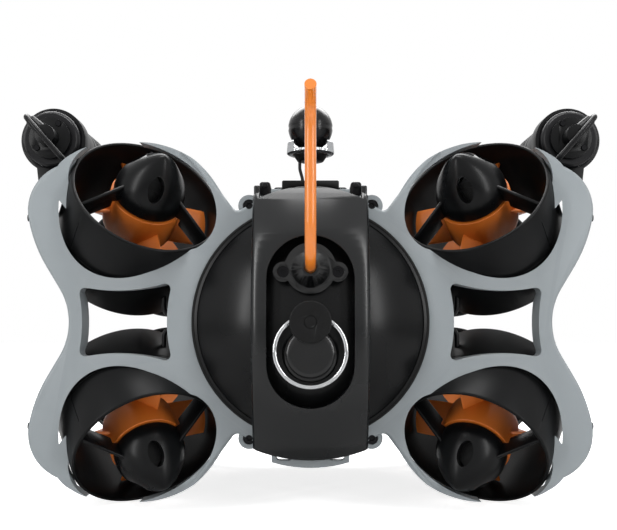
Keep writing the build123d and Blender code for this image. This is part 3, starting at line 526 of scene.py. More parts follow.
    @staticmethod
    def settle(piece: bpy.types.Object, finish: Finish | ClearFinish, body: str, *nodes: str) -> None:
        """Dress a piece, let it ride on its body and stand for its solids.

        Args:
            piece: The finished piece.
            finish: Its finish.
            body: The body that it moves with.
            nodes: The solids that it stands for.
        """
        Bench.dress(piece, finish)
        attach(piece, body)
        if nodes:
            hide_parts(*nodes)
        log.info("%s: %d faces", piece.name, len(piece.data.polygons))


def along_hull(out: float, end: End, x: float = 0.0, z: float = 0.0) -> Matrix:
    """Where a piece turned about Z goes when its axis lies along the hull.

    Args:
        out: How far its origin lies beyond the frame's face.
        end: Which way its Z points.
        x: Its place across the vehicle.
        z: Its height above the hull's axis.

    Returns:
        The matrix.
    """
    turn = Matrix.Rotation(radians(-90 * end.value), 4, "X")
    return Matrix.Translation((x, end.value * (HALF_LENGTH + out), AXIS_HEIGHT + z)) @ turn


def scaled(points: Sequence[Point]) -> list[Point]:
    """Points that are written in millimetres, in metres."""
    return [(x * MM, y * MM) for x, y in points]


@dataclass
class Thrusters:
    """The ducted thrusters: one of each piece is modelled, then copied to its stations."""

    hub: tuple[float, float, float] = (-0.148, -0.118, AXIS_HEIGHT + 0.1165)
    axis: tuple[float, float, float] = (0.418, -0.669, 0.614)
    across: tuple[float, float, float] = (0.903, 0.227, -0.368)
    duct_outer: float = 70.0
    duct_wall: float = 3.5
    duct_length: float = 91.0
    pod_radius: float = 32.0
    pod_tip: float = 48.0
    fin_angles: tuple[float, ...] = (101.0, 221.0, 341.0)
    bell_radius: float = 33.5
    blades: int = 4
    blade_phase: float = 20.0
    chord: float = 34.0
    seam_angle: float = 229.0

    def place(self, end: End, level: Level, side: Side) -> Matrix:
        """The matrix that takes a piece from the thruster's own frame to its station.

        Args:
            end: Stern or bow.
            level: Above or below.
            side: Port or starboard.

        Returns:
            The matrix, which may mirror.
        """
        z = Vector(self.axis).normalized()
        x = Vector(self.across)
        x = (x - z * x.dot(z)).normalized()
        y = z.cross(x)
        base = Matrix((x, y, z)).transposed().to_4x4()
        base.translation = self.hub
        flip = Matrix.Diagonal((-side.value, -end.value, level.value, 1.0))
        middle = Matrix.Translation((0, 0, AXIS_HEIGHT))
        return middle @ flip @ middle.inverted() @ base

    def duct(self) -> bpy.types.Object:
        """The nozzle: a tube with rolled lips and a parting line round its middle."""
        outer, inner, length = self.duct_outer, self.duct_outer - self.duct_wall, self.duct_length
        middle = (outer + inner) / 2
        lip = [(middle + 1.75 * cos(a), -1.75 + 1.75 * sin(a)) for a in (0, pi / 5, 2 * pi / 5, 3 * pi / 5, 4 * pi / 5, pi)]
        far = [(middle - 1.75 * cos(a), 1.75 - length - 1.75 * sin(a)) for a in (0, pi / 5, 2 * pi / 5, 3 * pi / 5, 4 * pi / 5, pi)]
        inside = [(inner, -20.0), (inner, -24.0), (inner, -48.0), (inner, -52.0)]
        outside = [(outer, -51.0), (outer - 0.35, -50.6), (outer - 0.35, -49.8), (outer, -49.4)]
        piece = Bench.turned("duct_pattern", scaled(lip + inside + far + outside), 128)
        Bench.clear()
        bpy.ops.mesh.primitive_cube_add(size=1.0)
        seam = bpy.context.object
        seam.data.transform(
            Matrix.Rotation(radians(self.seam_angle), 4, "Z")
            @ Matrix.Translation((outer * MM, 0, -0.6 * length * MM))
            @ Matrix.Diagonal((1.0 * MM, 0.7 * MM, 0.86 * length * MM, 1.0))
        )
        Bench.modified(piece, "BOOLEAN", object=seam, operation="DIFFERENCE", solver="EXACT")
        Bench.drop(seam)
        Bench.smooth(piece, 40)
        return piece

    def pod(self) -> bpy.types.Object:
        """The motor's pod: an ogive with three water ports, on three raked fins."""
        start, pull, blunt, tip = (32.0, 6.0), (31.0, 24.0), (7.0, 48.0), (0.0, 48.0)
        ogive = []
        for step in range(25):
            t = step / 24
            weights = ((1 - t) ** 3, 3 * t * (1 - t) ** 2, 3 * t * t * (1 - t), t**3)
            ogive.append(
                tuple(sum(w * p[k] for w, p in zip(weights, (start, pull, blunt, tip))) for k in (0, 1))
            )
        body = [(0.0, -35.9), (27.9, -35.9), (27.9, -3.6), (31.2, -3.0), (31.8, -2.4), (32.0, -1.6)]
        core = Bench.turned("pod_pattern", scaled(body + ogive), 96)
        for angle in self.fin_angles:
            turn, lean = radians(angle + 60), radians(52.0)
            out = Vector((cos(turn) * sin(lean), sin(turn) * sin(lean), cos(lean)))
            Bench.clear()
            bpy.ops.mesh.primitive_cylinder_add(vertices=48, radius=6.8 * MM, depth=52 * MM)
            cutter = bpy.context.object
            cutter.data.transform(Matrix.Diagonal((1.0, 1.75, 1.0, 1.0)))
            centre = Vector((0, 0, 8.5 * MM)) + out * 35.0 * MM
            cutter.data.transform(Matrix.Translation(centre) @ out.to_track_quat("Z", "Y").to_matrix().to_4x4())
            Bench.modified(core, "BOOLEAN", object=cutter, operation="DIFFERENCE", solver="EXACT")
            Bench.drop(cutter)
        inner = self.duct_outer - self.duct_wall
        fin = Bench.plate(
            "fin_pattern",
            scaled([(24.0, 17.5), (inner - 0.2, -2.4), (inner - 0.2, -22.0), (36.5, -9.0), (36.5, -3.0), (24.0, -3.0)]),
            3.2 * MM,
        )
        Bench.modified(fin, "BEVEL", width=0.0012, segments=3, limit_method="ANGLE", angle_limit=radians(50))
        fins = [
            Bench.copy(fin, f"fin_{index}", Matrix.Rotation(radians(angle), 4, "Z"))
            for index, angle in enumerate(self.fin_angles)
        ]
        Bench.drop(fin)
        piece = Bench.joined("pod_pattern", [core, *fins])
        Bench.smooth(piece, 38)
        return piece

    def propeller(self) -> bpy.types.Object:
        """The propeller: the motor's bell with its shaft, and pitched blades on it."""
        edge = [(33.5, -4.4), (33.1, -4.0), (29.5, -4.0), (29.5, -40.0), (3.0, -40.0), (3.0, 9.0), (0.0, 9.0)]
        nose = [(0.0, -45.0), (22.5, -45.0), (26.0, -44.4), (28.8, -43.2), (31.0, -41.4), (32.6, -38.8), (33.5, -35.0)]
        bell = Bench.turned("bell_pattern", scaled(edge + nose), 96)
        Bench.smooth(bell, 35)
        tip = self.duct_outer - self.duct_wall - 1.7
        Bench.clear()
        bpy.ops.mesh.primitive_grid_add(x_subdivisions=14, y_subdivisions=10, size=1.0)
        blade = bpy.context.object
        for corner in blade.data.vertices:
            share, along = corner.co.y + 0.5, corner.co.x
            radius = 32.0 + share * (tip - 32.0)
            lean = radians(50.0 - 20.0 * share)
            reach = self.chord * along
            camber = 2.1 * (1 - (2 * along) ** 2)
            sideways = reach * cos(lean) - camber * sin(lean)
            height = -31.0 + reach * sin(lean) + camber * cos(lean)
            turn = sideways / radius
            corner.co = Vector((radius * cos(turn), radius * sin(turn), height)) * MM
        Bench.modified(blade, "SOLIDIFY", thickness=0.0026, offset=0.0)
        Bench.modified(blade, "BEVEL", width=0.0007, segments=2, limit_method="ANGLE", angle_limit=radians(60))
        Bench.smooth(blade, 40)
        copies = [
            Bench.copy(blade, f"blade_{n}", Matrix.Rotation(radians(self.blade_phase) + tau * n / self.blades, 4, "Z"))
            for n in range(self.blades)
        ]
        Bench.drop(blade)
        return Bench.joined("propeller_pattern", [bell, *copies])

    def build(self) -> None:
        """Model each piece once and copy it to its stations."""
        patterns = (
            (self.duct(), "nozzle", NOZZLE_PLASTIC, "ducts"),
            (self.pod(), "motor_pod", POD_PLASTIC, "pods"),
            (self.propeller(), "propeller", PROPELLER_PLASTIC, "screws"),
        )
        for end in End:
            for level in Level:
                for side in Side:
                    station = f"{end.name}_{level.name}_{side.name}".lower()
                    place = self.place(end, level, side)
                    for pattern, kind, finish, _ in patterns:
                        piece = Bench.copy(pattern, f"dressed_{kind}_{station}", place)
                        body = f"rotor_{station}" if kind == "propeller" else "vehicle"
                        Bench.settle(piece, finish, body, f"{kind}_{station}")
        Bench.drop(*(pattern[0] for pattern in patterns))


@dataclass
class Hull:
    """The two ends of the hull: the rear dome with its gasket, and the clear bow window in its bezel."""

    dome_foot: float = 103.95
    dome_rise: float = 42.0
    window_foot: float = 86.0
    bow_reach: float = 66.9

    def cap(self, foot: float, rise: float, low: float, count: int) -> list[Point]:
        """Points of a spherical cap's section, from its foot to its crown.

        Args:
            foot: The cap's radius at its foot.
            rise: Its height.
            low: The height at which the section starts.
            count: How many points it has.

        Returns:
            The points, in millimetres.
        """
        sphere = (foot**2 + rise**2) / (2 * rise)
        middle = rise - sphere
        points = []
        for step in range(count + 1):
            radius = foot * (1 - step / count)
            points.append((radius, max(low, middle + sqrt(sphere**2 - radius**2))))
        return points

    def build(self) -> None:
        """Model and dress the ends."""
        crown = [(r, h) for r, h in self.cap(self.dome_foot, self.dome_rise, 0.25, 48) if r < 99.2]
        rim = [(0.0, 0.3), (103.9, 0.3), (103.9, 2.4), (103.4, 3.0), (100.6, 3.9), (100.1, 3.4)]
        dome = Bench.turned("dressed_rear_dome", scaled(rim + crown), 160)
        dome.data.transform(along_hull(0, End.REAR))
        Bench.smooth(dome, 30)
        Bench.settle(dome, DOME_PLASTIC, "vehicle", "rear_dome")

        outside = self.cap(self.window_foot, self.bow_reach - 4, 0.0, 40)
        inside = self.cap(self.window_foot - 4.4, self.bow_reach - 8, 0.0, 40)
        section = [(86.0, 0.3)] + [(r, h + 4) for r, h in outside] + [(r, h + 4) for r, h in reversed(inside)]
        window = Bench.turned("dressed_front_window", scaled(section + [(81.6, 0.3)]), 128)
        window.data.transform(along_hull(0, End.FRONT))
        Bench.smooth(window, 30)
        Bench.settle(window, CLEAR, "vehicle", "front_window")

        ring = [(86.3, 0.3), (88.3, 8.4), (88.9, 9.0), (93.4, 9.0), (94.4, 8.5), (98.0, 6.7), (98.4, 5.9), (104.6, 3.4), (105.1, 2.6), (105.1, 0.3)]
        bezel = Bench.turned("dressed_front_bezel", scaled(ring), 128)
        bezel.data.transform(along_hull(0, End.FRONT))
        Bench.smooth(bezel, 30)
        Bench.settle(bezel, BOW_METAL, "vehicle", "front_bezel")


@dataclass
class Lamps:
    """Two lamps: turned barrels with cooling grooves, orange bezels and clear lenses."""

    x: float = 0.240
    z: float = 0.1694
    inset: float = 0.030
    radius: float = 25.9
    length: float = 124.0
    bezel: float = 13.0
    cable_route: tuple[tuple[float, float, float], ...] = (
        (-10, 10, 12),
        (-14, 14, 13),
        (-17, 17, 16),
        (-15, 14, 23),
        (-5, 3, 26),
        (8, -12, 24),
        (17, -23, 17),
        (21, -27.5, 2),
        (21, -27.5, -52),
        (21, -27, -84),
        (34, -25, -110),
        (72, -34, -114),
        (112, -54, -112),
        (145, -75, -110),
        (160, -89.5, -110),
    )

    def cable(self, name: str) -> bpy.types.Object:
        """Model the left lamp's cable, from its connector into the hull.

        Args:
            name: The piece's name.

        Returns:
            The cable as a closed tube.
        """
        line = bpy.data.curves.new(name, "CURVE")
        line.dimensions = "3D"
        spline = line.splines.new("NURBS")
        spline.points.add(len(self.cable_route) - 1)
        for knot, (x, z, out) in zip(spline.points, self.cable_route):
            knot.co = (-self.x + x * MM, -HALF_LENGTH + self.inset - out * MM, AXIS_HEIGHT + self.z + z * MM, 1.0)
        spline.order_u = 3
        spline.use_endpoint_u = True
        line.resolution_u = 12
        line.bevel_depth = 2.6 * MM
        line.bevel_resolution = 5
        line.use_fill_caps = True
        piece = bpy.data.objects.new(name, line)
        bpy.context.scene.collection.objects.link(piece)
        Bench.pick(piece)
        bpy.ops.object.convert(target="MESH")
        piece = bpy.context.object
        Bench.tidy(piece)
        Bench.smooth(piece, 50)
        return piece

    def pattern(self, name: str, profile: Sequence[Point]) -> bpy.types.Object:
        """Turn a lamp's piece about its axis.

        Args:
            name: The piece's name.
            profile: Radius and distance ahead of the lamp's rear face, in millimetres.

        Returns:
            The piece, with Z ahead.
        """
        piece = Bench.turned(name, scaled(profile), 96)
        Bench.smooth(piece, 30)
        return piece

    def build(self) -> None:
        """Model the pieces once and put a copy at each side."""
        r, front = self.radius, self.length - self.bezel
        barrel = [(0.0, 0.0), (r - 2.6, 0.0), (r - 2.2, 0.3), (r - 0.5, 1.6), (r, 2.6), (r, 60.6), (r - 0.9, 61.0)]
        barrel += [(r - 0.9, 63.0), (r, 63.4)]
        for groove in range(5):
            start = 72.0 + 6.0 * groove
            barrel += [(r, start), (r - 1.6, start + 0.4), (r - 1.6, start + 2.8), (r, start + 3.2)]
        barrel += [(r, front - 0.6), (r - 0.6, front), (0.0, front)]
        inner = r - 6.0
        ring = [(inner, front + 0.3), (r - 0.9, front + 0.3), (r - 0.5, front + 0.8), (r - 0.5, self.length - 2.4)]
        ring += [(r - 2.5, self.length - 0.2), (inner + 1.4, self.length - 0.2), (inner, self.length - 1.4)]
        glass = [(0.0, front + 6.6), (inner - 0.25, front + 6.6), (inner - 0.25, front + 10.6), (inner - 1.0, front + 11.2)]
        glass += [(0.0, front + 11.4)]
        patterns = {
            "body": self.pattern("barrel_pattern", barrel),
            "bezel": self.pattern("bezel_pattern", ring),
            "lens": self.pattern("lens_pattern", glass),
        }
        made: dict[str, list[bpy.types.Object]] = {kind: [] for kind in patterns}
        for side in Side:
            turn = Matrix.Rotation(radians(-90), 4, "X")
            spot = Matrix.Translation((side.value * self.x, -HALF_LENGTH + self.inset, AXIS_HEIGHT + self.z))
            for kind, piece in patterns.items():
                made[kind].append(Bench.copy(piece, f"dressed_lamp_{kind}_{side.name.lower()}", spot @ turn))
        for side, body in zip(Side, made["body"]):
            Bench.settle(body, LAMP_METAL, "vehicle", f"lamp_body_{side.name.lower()}")
        Bench.settle(Bench.joined("dressed_lamp_bezels", made["bezel"]), BEZEL_PAINT, "vehicle", "lamp_bezels")
        Bench.settle(Bench.joined("dressed_lamp_lenses", made["lens"]), CLEAR, "vehicle", "lamp_lenses")
        Bench.drop(*patterns.values())
        left = self.cable("left_cable")
        right = Bench.copy(left, "right_cable", Matrix.Diagonal((-1.0, 1.0, 1.0, 1.0)))
        Bench.settle(Bench.joined("dressed_lamp_cables", [left, right]), LEAD_SKIN, "vehicle", "lamp_cables")


@dataclass
class Beacon:
    """The ball on its mast, in a fluted collar."""

    inset: float = 0.040
    height: float = 0.1812
    radius: float = 20.8
    flutes: int = 36

    def build(self) -> None:
        """Model the ball with its joint line, and the collar with its flutes."""
        foot = Matrix.Translation((0, -HALF_LENGTH + self.inset, AXIS_HEIGHT + self.height))
        r = self.radius - 0.02
        arc = []
        for step in range(65):
            turn = -pi / 2 + pi * step / 64
            dent = 0.35 if step in (31, 32, 33) else 0.0
            arc.append(((r - dent) * cos(turn) if 0 < step < 64 else 0.0, (r - dent) * sin(turn)))
        ball = Bench.turned("dressed_beacon_ball", scaled(arc), 96)
        ball.data.transform(foot)
        Bench.smooth(ball, 40)
        Bench.settle(ball, BEACON_SHELL, "vehicle", "beacon_ball")

        section = [(16.8, -25.1), (20.6, -25.1), (22.2, -23.9), (21.4, -14.4), (20.6, -13.4), (19.2, -13.3), (17.6, -15.0)]
        section += [(16.2, -17.0), (14.9, -19.0)]
        collar = Bench.turned("dressed_beacon_collar", scaled(section), self.flutes * 4)
        for corner in collar.data.vertices:
            flat = Vector((corner.co.x, corner.co.y))
            if flat.length > 20.3 * MM:
                wave = cos(self.flutes * flat.angle_signed(Vector((1, 0))))
                share = 1 - 0.035 * (0.5 + 0.5 * wave)
                corner.co.x, corner.co.y = corner.co.x * share, corner.co.y * share
        Bench.clear()
        bpy.ops.mesh.primitive_cube_add(size=1.0)
        opening = bpy.context.object
        opening.data.transform(Matrix.Translation((0, -0.020, -0.0105)) @ Matrix.Diagonal((0.031, 0.03, 0.0225, 1.0)))
        Bench.modified(collar, "BOOLEAN", object=opening, operation="DIFFERENCE", solver="EXACT")
        Bench.drop(opening)
        collar.data.transform(foot)
        Bench.smooth(collar, 50)
        Bench.settle(collar, COLLAR_METAL, "vehicle", "beacon_collar")


@dataclass
class LiftingRing:
    """The split ring: two turns of flat wire that hang in the plug's stem."""

    out: float = 54.0
    pivot: float = 5.6
    radius: float = 29.7
    width: float = 3.5
    thick: float = 4.6

    def build(self) -> None:
        """Wind the wire and close its ends."""
        half, deep = self.width / 2, self.thick / 4 - 0.03
        section = []
        for step in range(16):
            turn = tau * step / 16
            section.append((self.radius + half * cos(turn), deep * sin(turn)))
        ring = Bench.outline("dressed_lifting_ring", scaled(section), False)
        Bench.modified(
            ring, "SCREW", axis="Z", angle=tau, iterations=2, steps=120, render_steps=120, screw_offset=self.thick / 2 * MM
        )
        Bench.edit(ring)
        bpy.ops.mesh.fill_holes(sides=20)
        bpy.ops.mesh.select_all(action="SELECT")
        bpy.ops.mesh.normals_make_consistent(inside=False)
        bpy.ops.object.mode_set(mode="OBJECT")
        ring.data.transform(Matrix.Translation((0, 0, -self.thick / 2 * MM)))
        ring.data.transform(along_hull(self.out * MM, End.REAR, z=(self.pivot - self.radius) * MM))
        Bench.smooth(ring, 60)
        Bench.settle(ring, CHROME, "ring", "lifting_ring")


@dataclass
class Tether:
    """The bare tether stub that rises from its gland."""

    diameter: float = 0.009
    route: tuple[Point, ...] = (
        (42.0, 45.0),
        (84.0, 45.0),
        (101.0, 64.0),
        (104.0, 93.0),
        (104.5, 122.0),
        (102.0, 148.0),
        (110.0, 167.0),
        (134.0, 174.6),
    )

    def build(self) -> None:
        points = [(0.0, -HALF_LENGTH - out * MM, AXIS_HEIGHT + z * MM) for out, z in self.route]
        curve = bpy.data.curves.new("tether_line", "CURVE")
        curve.dimensions = "3D"
        spline = curve.splines.new("NURBS")
        spline.points.add(len(points) - 1)
        for knot, point in zip(spline.points, points):
            knot.co = (*point, 1.0)
        spline.order_u = 3
        spline.use_endpoint_u = True
        curve.resolution_u = 24
        curve.bevel_depth = self.diameter / 2
        curve.bevel_resolution = 8
        curve.use_fill_caps = True
        piece = bpy.data.objects.new("dressed_tether", curve)
        bpy.context.scene.collection.objects.link(piece)
        piece.data.materials.append(SHEATH.material())
        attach(piece, "vehicle")
        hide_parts("tether")
        log.info("tether drawn")


@dataclass(frozen=True)
class Fitting:
    """A solid that is shown with softened edges."""

    node: str
    finish: Finish | ClearFinish
    soften: float
    body: str = "vehicle"
    sharp: float = 34.0


@dataclass(frozen=True)
class Band:
    """A stretch of the rear frame that hugs a nozzle's mouth, by its angles, widths and depths."""

    start: float
    stop: float
    widths: tuple[float, ...]
    near: float
    far: float
    clear: float
    trimmed: float = 1.0

    def width(self, share: float) -> float:
        """How wide the band is some way along it.

        Args:
            share: How far along, from 0 to 1.

        Returns:
            The width in millimetres.
        """
        spot = share * (len(self.widths) - 1)
        low = min(int(spot), len(self.widths) - 2)
        return self.widths[low] + (self.widths[low + 1] - self.widths[low]) * (spot - low)


class Fittings:
    """The frames, the cover and the smaller solids, with their edges softened."""

    softened: tuple[Fitting, ...] = (
        Fitting("rear_frame", FRAME_PLASTIC, 0.0),
        Fitting("front_frame", FRAME_PLASTIC, 0.0),
        Fitting("cover", COVER_PLASTIC, 0.6, sharp=58.0),
        Fitting("top_rail", BLACK_PLASTIC, 0.5),
        Fitting("top_bar", BLACK_PLASTIC, 0.4),
        Fitting("latch_blocks", LATCH_PLASTIC, 0.5),
        Fitting("tether_gland", GLAND_PLASTIC, 0.5),
        Fitting("swivel_boss", GLAND_PLASTIC, 0.0),
        Fitting("vent_plug", PLUG_PLASTIC, 0.3),
        Fitting("beacon_mast", BLACK_PLASTIC, 0.4),
        Fitting("lamp_clamp_left", CLAMP_PLASTIC, 0.8),
        Fitting("lamp_clamp_right", CLAMP_PLASTIC, 0.8),
        Fitting("lamp_connectors", BLACK_PLASTIC, 0.4),
        Fitting("camera", CAMERA_SHELL, 0.3, "camera_unit"),
        Fitting("camera_yoke", BLACK_PLASTIC, 0.5),
        Fitting("hull", HULL_PLASTIC, 0.5),
    )
    plain: tuple[tuple[str, Finish | ClearFinish], ...] = (
        ("frame_screws", STEEL),
        ("gland_screws", STEEL),
        ("connector_screws", STEEL),
        ("ring_screws", STEEL),
        ("gasket", RUBBER),
        ("motor_leads", LEAD_SKIN),
        ("beacon_lead", LEAD_SKIN),
        ("camera_lens", CLEAR),
    )

    bands: tuple[Band, ...] = (
        Band(-16.0, 110.0, (8.0, 9.5, 9.5, 9.5, 8.5, 10.0, 11.5, 9.5, 5.5, 0.4), -138.5, -118.0, -0.8, 0.47),
        Band(226.0, 158.0, (12.0, 15.0, 13.0, 8.6, 3.6, 0.2), -140.0, -129.0, 1.2),
    )

    def band(self, shape: Band, beyond: float = 0.0) -> bpy.types.Object:
        """Model one band of the upper left mouth, in line with its rim as it is seen from astern.

        Args:
            shape: The band.
            beyond: If it isn't nought, how far a cutter reaches that takes off the frame outside the band.

        Returns:
            The band or its cutter, a closed piece.
        """
        duct = Thrusters()
        z = Vector(duct.axis).normalized()
        x = Vector(duct.across)
        x = (x - z * x.dot(z)).normalized()
        y = z.cross(x)
        eye = Vector((0.0, -HALF_LENGTH - 0.762, AXIS_HEIGHT))
        middle = (shape.near + shape.far) / 2 * MM
        near, far = (shape.near - 4, shape.far + 6) if beyond else (shape.near, shape.far)
        inner, outer = [], []
        steps = 48
        first = shape.trimmed if beyond else 0.0
        for step in range(steps + 1):
            share = first + (1 - first) * step / steps
            turn = radians(shape.start + (shape.stop - shape.start) * share)
            way = x * cos(turn) + y * sin(turn)
            edge = shape.clear + shape.width(share)
            for reach, row in ((edge if beyond else shape.clear, inner), (edge + beyond, outer)):
                rim = Vector(duct.hub) + way * (duct.duct_outer + reach) * MM
                sight = (rim - eye) * ((middle - eye.y) / (rim.y - eye.y)) + eye
                row.append((sight.x, sight.z))
        piece = Bench.outline("band_pattern", inner + outer[::-1], True)
        piece.data.transform(Matrix.Translation((0, near * MM, 0)))
        Bench.edit(piece)
        bpy.ops.mesh.extrude_region_move(TRANSFORM_OT_translate={"value": (0, (far - near) * MM, 0)})
        bpy.ops.object.mode_set(mode="OBJECT")
        Bench.tidy(piece)
        if not beyond:
            Bench.clear()
            bpy.ops.mesh.primitive_cylinder_add(vertices=128, radius=(duct.duct_outer + 0.4) * MM, depth=0.2)
            bore = bpy.context.object
            bore.data.transform(duct.place(End.REAR, Level.UPPER, Side.LEFT) @ Matrix.Translation((0, 0, -0.098)))
            Bench.modified(piece, "BOOLEAN", object=bore, operation="DIFFERENCE", solver="EXACT")
            Bench.drop(bore)
        return piece

    def banded(self, frame_piece: bpy.types.Object) -> None:
        """Grow the bands of all four mouths into the rear frame.

        Args:
            frame_piece: The rear frame.
        """
        middle = Matrix.Translation((0, 0, AXIS_HEIGHT))
        steps = [(self.band(shape, 45.0), "DIFFERENCE") for shape in self.bands if shape.trimmed < 1.0]
        steps += [(self.band(shape), "UNION") for shape in self.bands]
        for pattern, operation in steps:
            for side in Side:
                for level in Level:
                    flip = Matrix.Diagonal((-side.value, 1.0, level.value, 1.0))
                    place = middle @ flip @ middle.inverted()
                    piece = Bench.copy(pattern, f"band_{side.name}_{level.name}", place)
                    Bench.modified(frame_piece, "BOOLEAN", object=piece, operation=operation, solver="EXACT")
                    Bench.drop(piece)
            Bench.drop(pattern)

    @staticmethod
    def block(low: tuple[float, float, float], high: tuple[float, float, float], rounding: float) -> bpy.types.Object:
        """A block with rounded edges.

        Args:
            low: Its least X, Y and height above the hull's axis, in millimetres.
            high: Its greatest ones.
            rounding: The radius of its edges.

        Returns:
            The block.
        """
        Bench.clear()
        bpy.ops.mesh.primitive_cube_add(size=1.0)
        piece = bpy.context.object
        size = [(b - a) * MM for a, b in zip(low, high)]
        middle = [(a + b) / 2 * MM for a, b in zip(low, high)]
        middle[2] += AXIS_HEIGHT
        piece.data.transform(Matrix.Translation(middle) @ Matrix.Diagonal((*size, 1.0)))
        Bench.modified(piece, "BEVEL", width=rounding * MM, segments=4)
        return piece

    def posted(self, piece: bpy.types.Object) -> None:
        """Grow the two posts beside the top bar into the rear frame.

        Args:
            piece: The rear frame.
        """
        for side in Side:
            near, far = sorted((side.value * 25.4, side.value * 35.3))
            post = self.block((near, -139.2, 104.0), (far, -124.0, 118.6), 0.8)
            Bench.modified(piece, "BOOLEAN", object=post, operation="UNION", solver="EXACT")
            Bench.drop(post)

    def shouldered(self, piece: bpy.types.Object) -> None:
        """Round the cover's top between two cheeks.

        Args:
            piece: The cover.
        """
        radius, centre, half = 93.3, 25.0, 44.4
        arc = []
        for step in range(41):
            x = -half + 2 * half * step / 40
            arc.append((x * MM, (centre + sqrt(radius**2 - x**2)) * MM + AXIS_HEIGHT))
        rim = [(half * MM, 0.135 + AXIS_HEIGHT), (-half * MM, 0.135 + AXIS_HEIGHT)]
        cutter = Bench.plate("shoulder_cutter", arc + rim, 0.06)
        cutter.data.transform(Matrix.Translation((0, -0.150, 0)))
        Bench.modified(piece, "BOOLEAN", object=cutter, operation="DIFFERENCE", solver="EXACT")
        Bench.drop(cutter)
        for side in Side:
            near, far = sorted((side.value * 44.4, side.value * 49.9))
            cheek = self.block((near, -147.5, 84.0), (far, -140.3, 120.6), 1.6)
            Bench.modified(piece, "BOOLEAN", object=cheek, operation="UNION", solver="EXACT")
            Bench.drop(cheek)

    def shortened(self, piece: bpy.types.Object) -> None:
        """Cut the lamp connectors off where their cables turn back.

        Args:
            piece: Both connectors.
        """
        for side in Side:
            Bench.clear()
            bpy.ops.mesh.primitive_cube_add(size=0.06)
            cutter = bpy.context.object
            turn = Matrix.Rotation(radians(45), 4, "Y")
            spot = Matrix.Translation(
                (side.value * (0.240 + 0.0148 + 0.0212), -HALF_LENGTH + 0.010, AXIS_HEIGHT + 0.1694 + 0.0148 + 0.0212)
            )
            cutter.data.transform(spot @ turn)
            Bench.modified(piece, "BOOLEAN", object=cutter, operation="DIFFERENCE", solver="EXACT")
            Bench.drop(cutter)
        Bench.edit(piece)
        bpy.ops.mesh.remove_doubles(threshold=3e-5)
        bpy.ops.object.mode_set(mode="OBJECT")
        Bench.tidy(piece)

    def soften(self, fitting: Fitting) -> None:
        """Show a solid through a merged copy whose edges are rounded.

        Args:
            fitting: The solid and how it is shown.
        """
        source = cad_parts[fitting.node]
        piece = bpy.data.objects.new(f"dressed_{fitting.node}", source.data.copy())
        bpy.context.scene.collection.objects.link(piece)
        Bench.edit(piece)
        bpy.ops.mesh.customdata_custom_splitnormals_clear()
        bpy.ops.mesh.remove_doubles(threshold=2e-5)
        bpy.ops.mesh.dissolve_limited(angle_limit=radians(0.4))
        bpy.ops.object.mode_set(mode="OBJECT")
        if fitting.soften:
            Bench.modified(
                piece,
                "BEVEL",
                width=fitting.soften * MM,
                segments=2,
                limit_method="ANGLE",
                angle_limit=radians(max(40.0, fitting.sharp)),
                use_clamp_overlap=True,
            )
        if fitting.node == "rear_frame":
            self.banded(piece)
            self.posted(piece)
        if fitting.node == "lamp_connectors":
            self.shortened(piece)
        if fitting.node == "cover":
            self.shouldered(piece)
        Bench.smooth(piece, fitting.sharp)
        Bench.settle(piece, fitting.finish, fitting.body, fitting.node)

    def build(self) -> None:
        """Soften and dress them all."""
        for fitting in self.softened:
            self.soften(fitting)
        for node, finish in self.plain:
            Bench.dress(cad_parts[node], finish)
            log.info("%s dressed", node)


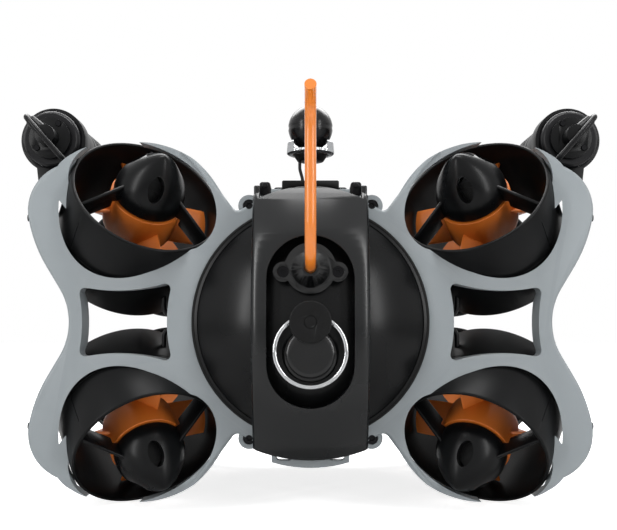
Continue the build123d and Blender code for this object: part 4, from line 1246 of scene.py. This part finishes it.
class Studio:
    """Camera, lights, floor and background."""

    def camera(self) -> None:
        """Put the camera behind the stern, level with the hull's axis."""
        data = bpy.data.cameras.new("view_from_astern")
        data.lens = 50.0
        data.sensor_width = 36.0
        data.shift_x = -0.0032
        data.shift_y = 0.0924
        camera = bpy.data.objects.new("view_from_astern", data)
        camera.location = (0.0, -HALF_LENGTH - 0.762, AXIS_HEIGHT)
        camera.rotation_euler = (radians(90), 0.0, 0.0)
        bpy.context.scene.collection.objects.link(camera)
        bpy.context.scene.camera = camera

    def softbox(self, name: str, place: tuple[float, float, float], size: Point, watts: float) -> None:
        """Hang a softbox that faces the vehicle.

        Args:
            name: Its name.
            place: Where it hangs.
            size: Its width and height.
            watts: Its power.
        """
        data = bpy.data.lights.new(name, "AREA")
        data.shape = "RECTANGLE"
        data.size, data.size_y = size
        data.energy = watts
        lamp = bpy.data.objects.new(name, data)
        lamp.location = place
        aim = Vector((0, 0, AXIS_HEIGHT)) - Vector(place)
        lamp.rotation_euler = aim.to_track_quat("-Z", "Y").to_euler()
        bpy.context.scene.collection.objects.link(lamp)

    def backdrop(self) -> None:
        """A pale floor that keeps the vehicle's shadow, and a white surround."""
        Bench.clear()
        bpy.ops.mesh.primitive_plane_add(size=12.0)
        floor = bpy.context.object
        floor.name = "studio_floor"
        material = bpy.data.materials.new("studio floor")
        material.use_nodes = True
        nodes = Nodes(material.node_tree)
        shader = material.node_tree.nodes["Principled BSDF"]
        shader.inputs["Base Color"].default_value = (0.86, 0.86, 0.86, 1.0)
        shader.inputs["Roughness"].default_value = 0.9
        shader.inputs["Emission Color"].default_value = (1.0, 1.0, 1.0, 1.0)
        ray = nodes.add("ShaderNodeLightPath")
        seen = nodes.math("MULTIPLY", ray.outputs["Is Camera Ray"], 0.80)
        nodes.link(seen, shader.inputs["Emission Strength"])
        floor.data.materials.append(material)
        world = bpy.data.worlds.new("studio surround")
        world.use_nodes = True
        bpy.context.scene.world = world
        tree = Nodes(world.node_tree)
        background = world.node_tree.nodes["Background"]
        path = tree.add("ShaderNodeLightPath")
        seen = tree.math("MAXIMUM", path.outputs["Is Camera Ray"], path.outputs["Is Glossy Ray"])
        seen = tree.math("MAXIMUM", seen, path.outputs["Is Transmission Ray"])
        extra = tree.math("MULTIPLY", seen, 0.80)
        strength = tree.math("ADD", extra, 0.20)
        background.inputs["Color"].default_value = (1.0, 1.0, 1.0, 1.0)
        tree.link(strength, background.inputs["Strength"])
        bpy.context.scene.view_settings.view_transform = "Standard"

    def build(self) -> None:
        """Set up the studio."""
        self.camera()
        self.softbox("top_softbox", (0.0, -0.38, 1.2), (0.6, 0.25), 7.5)
        self.softbox("left_strip", (-0.95, -0.95, 0.55), (0.10, 0.9), 6.0)
        self.softbox("right_strip", (0.95, -0.95, 0.55), (0.10, 0.9), 6.0)
        self.softbox("rim_softbox", (0.0, 0.5, 1.1), (1.4, 0.6), 16.0)
        self.backdrop()


def main() -> None:
    """Build the studio and the vehicle."""
    logging.basicConfig(level=logging.INFO, format="%(message)s")
    steps: tuple[tuple[str, Callable[[], None]], ...] = (
        ("studio", Studio().build),
        ("tether", Tether().build),
        ("thrusters", Thrusters().build),
        ("hull", Hull().build),
        ("lamps", Lamps().build),
        ("beacon", Beacon().build),
        ("lifting ring", LiftingRing().build),
        ("fittings", Fittings().build),
    )
    for name, build in steps:
        build()
        log.info("%s done", name)
    Bench.clear()


if __name__ == "__main__":
    main()
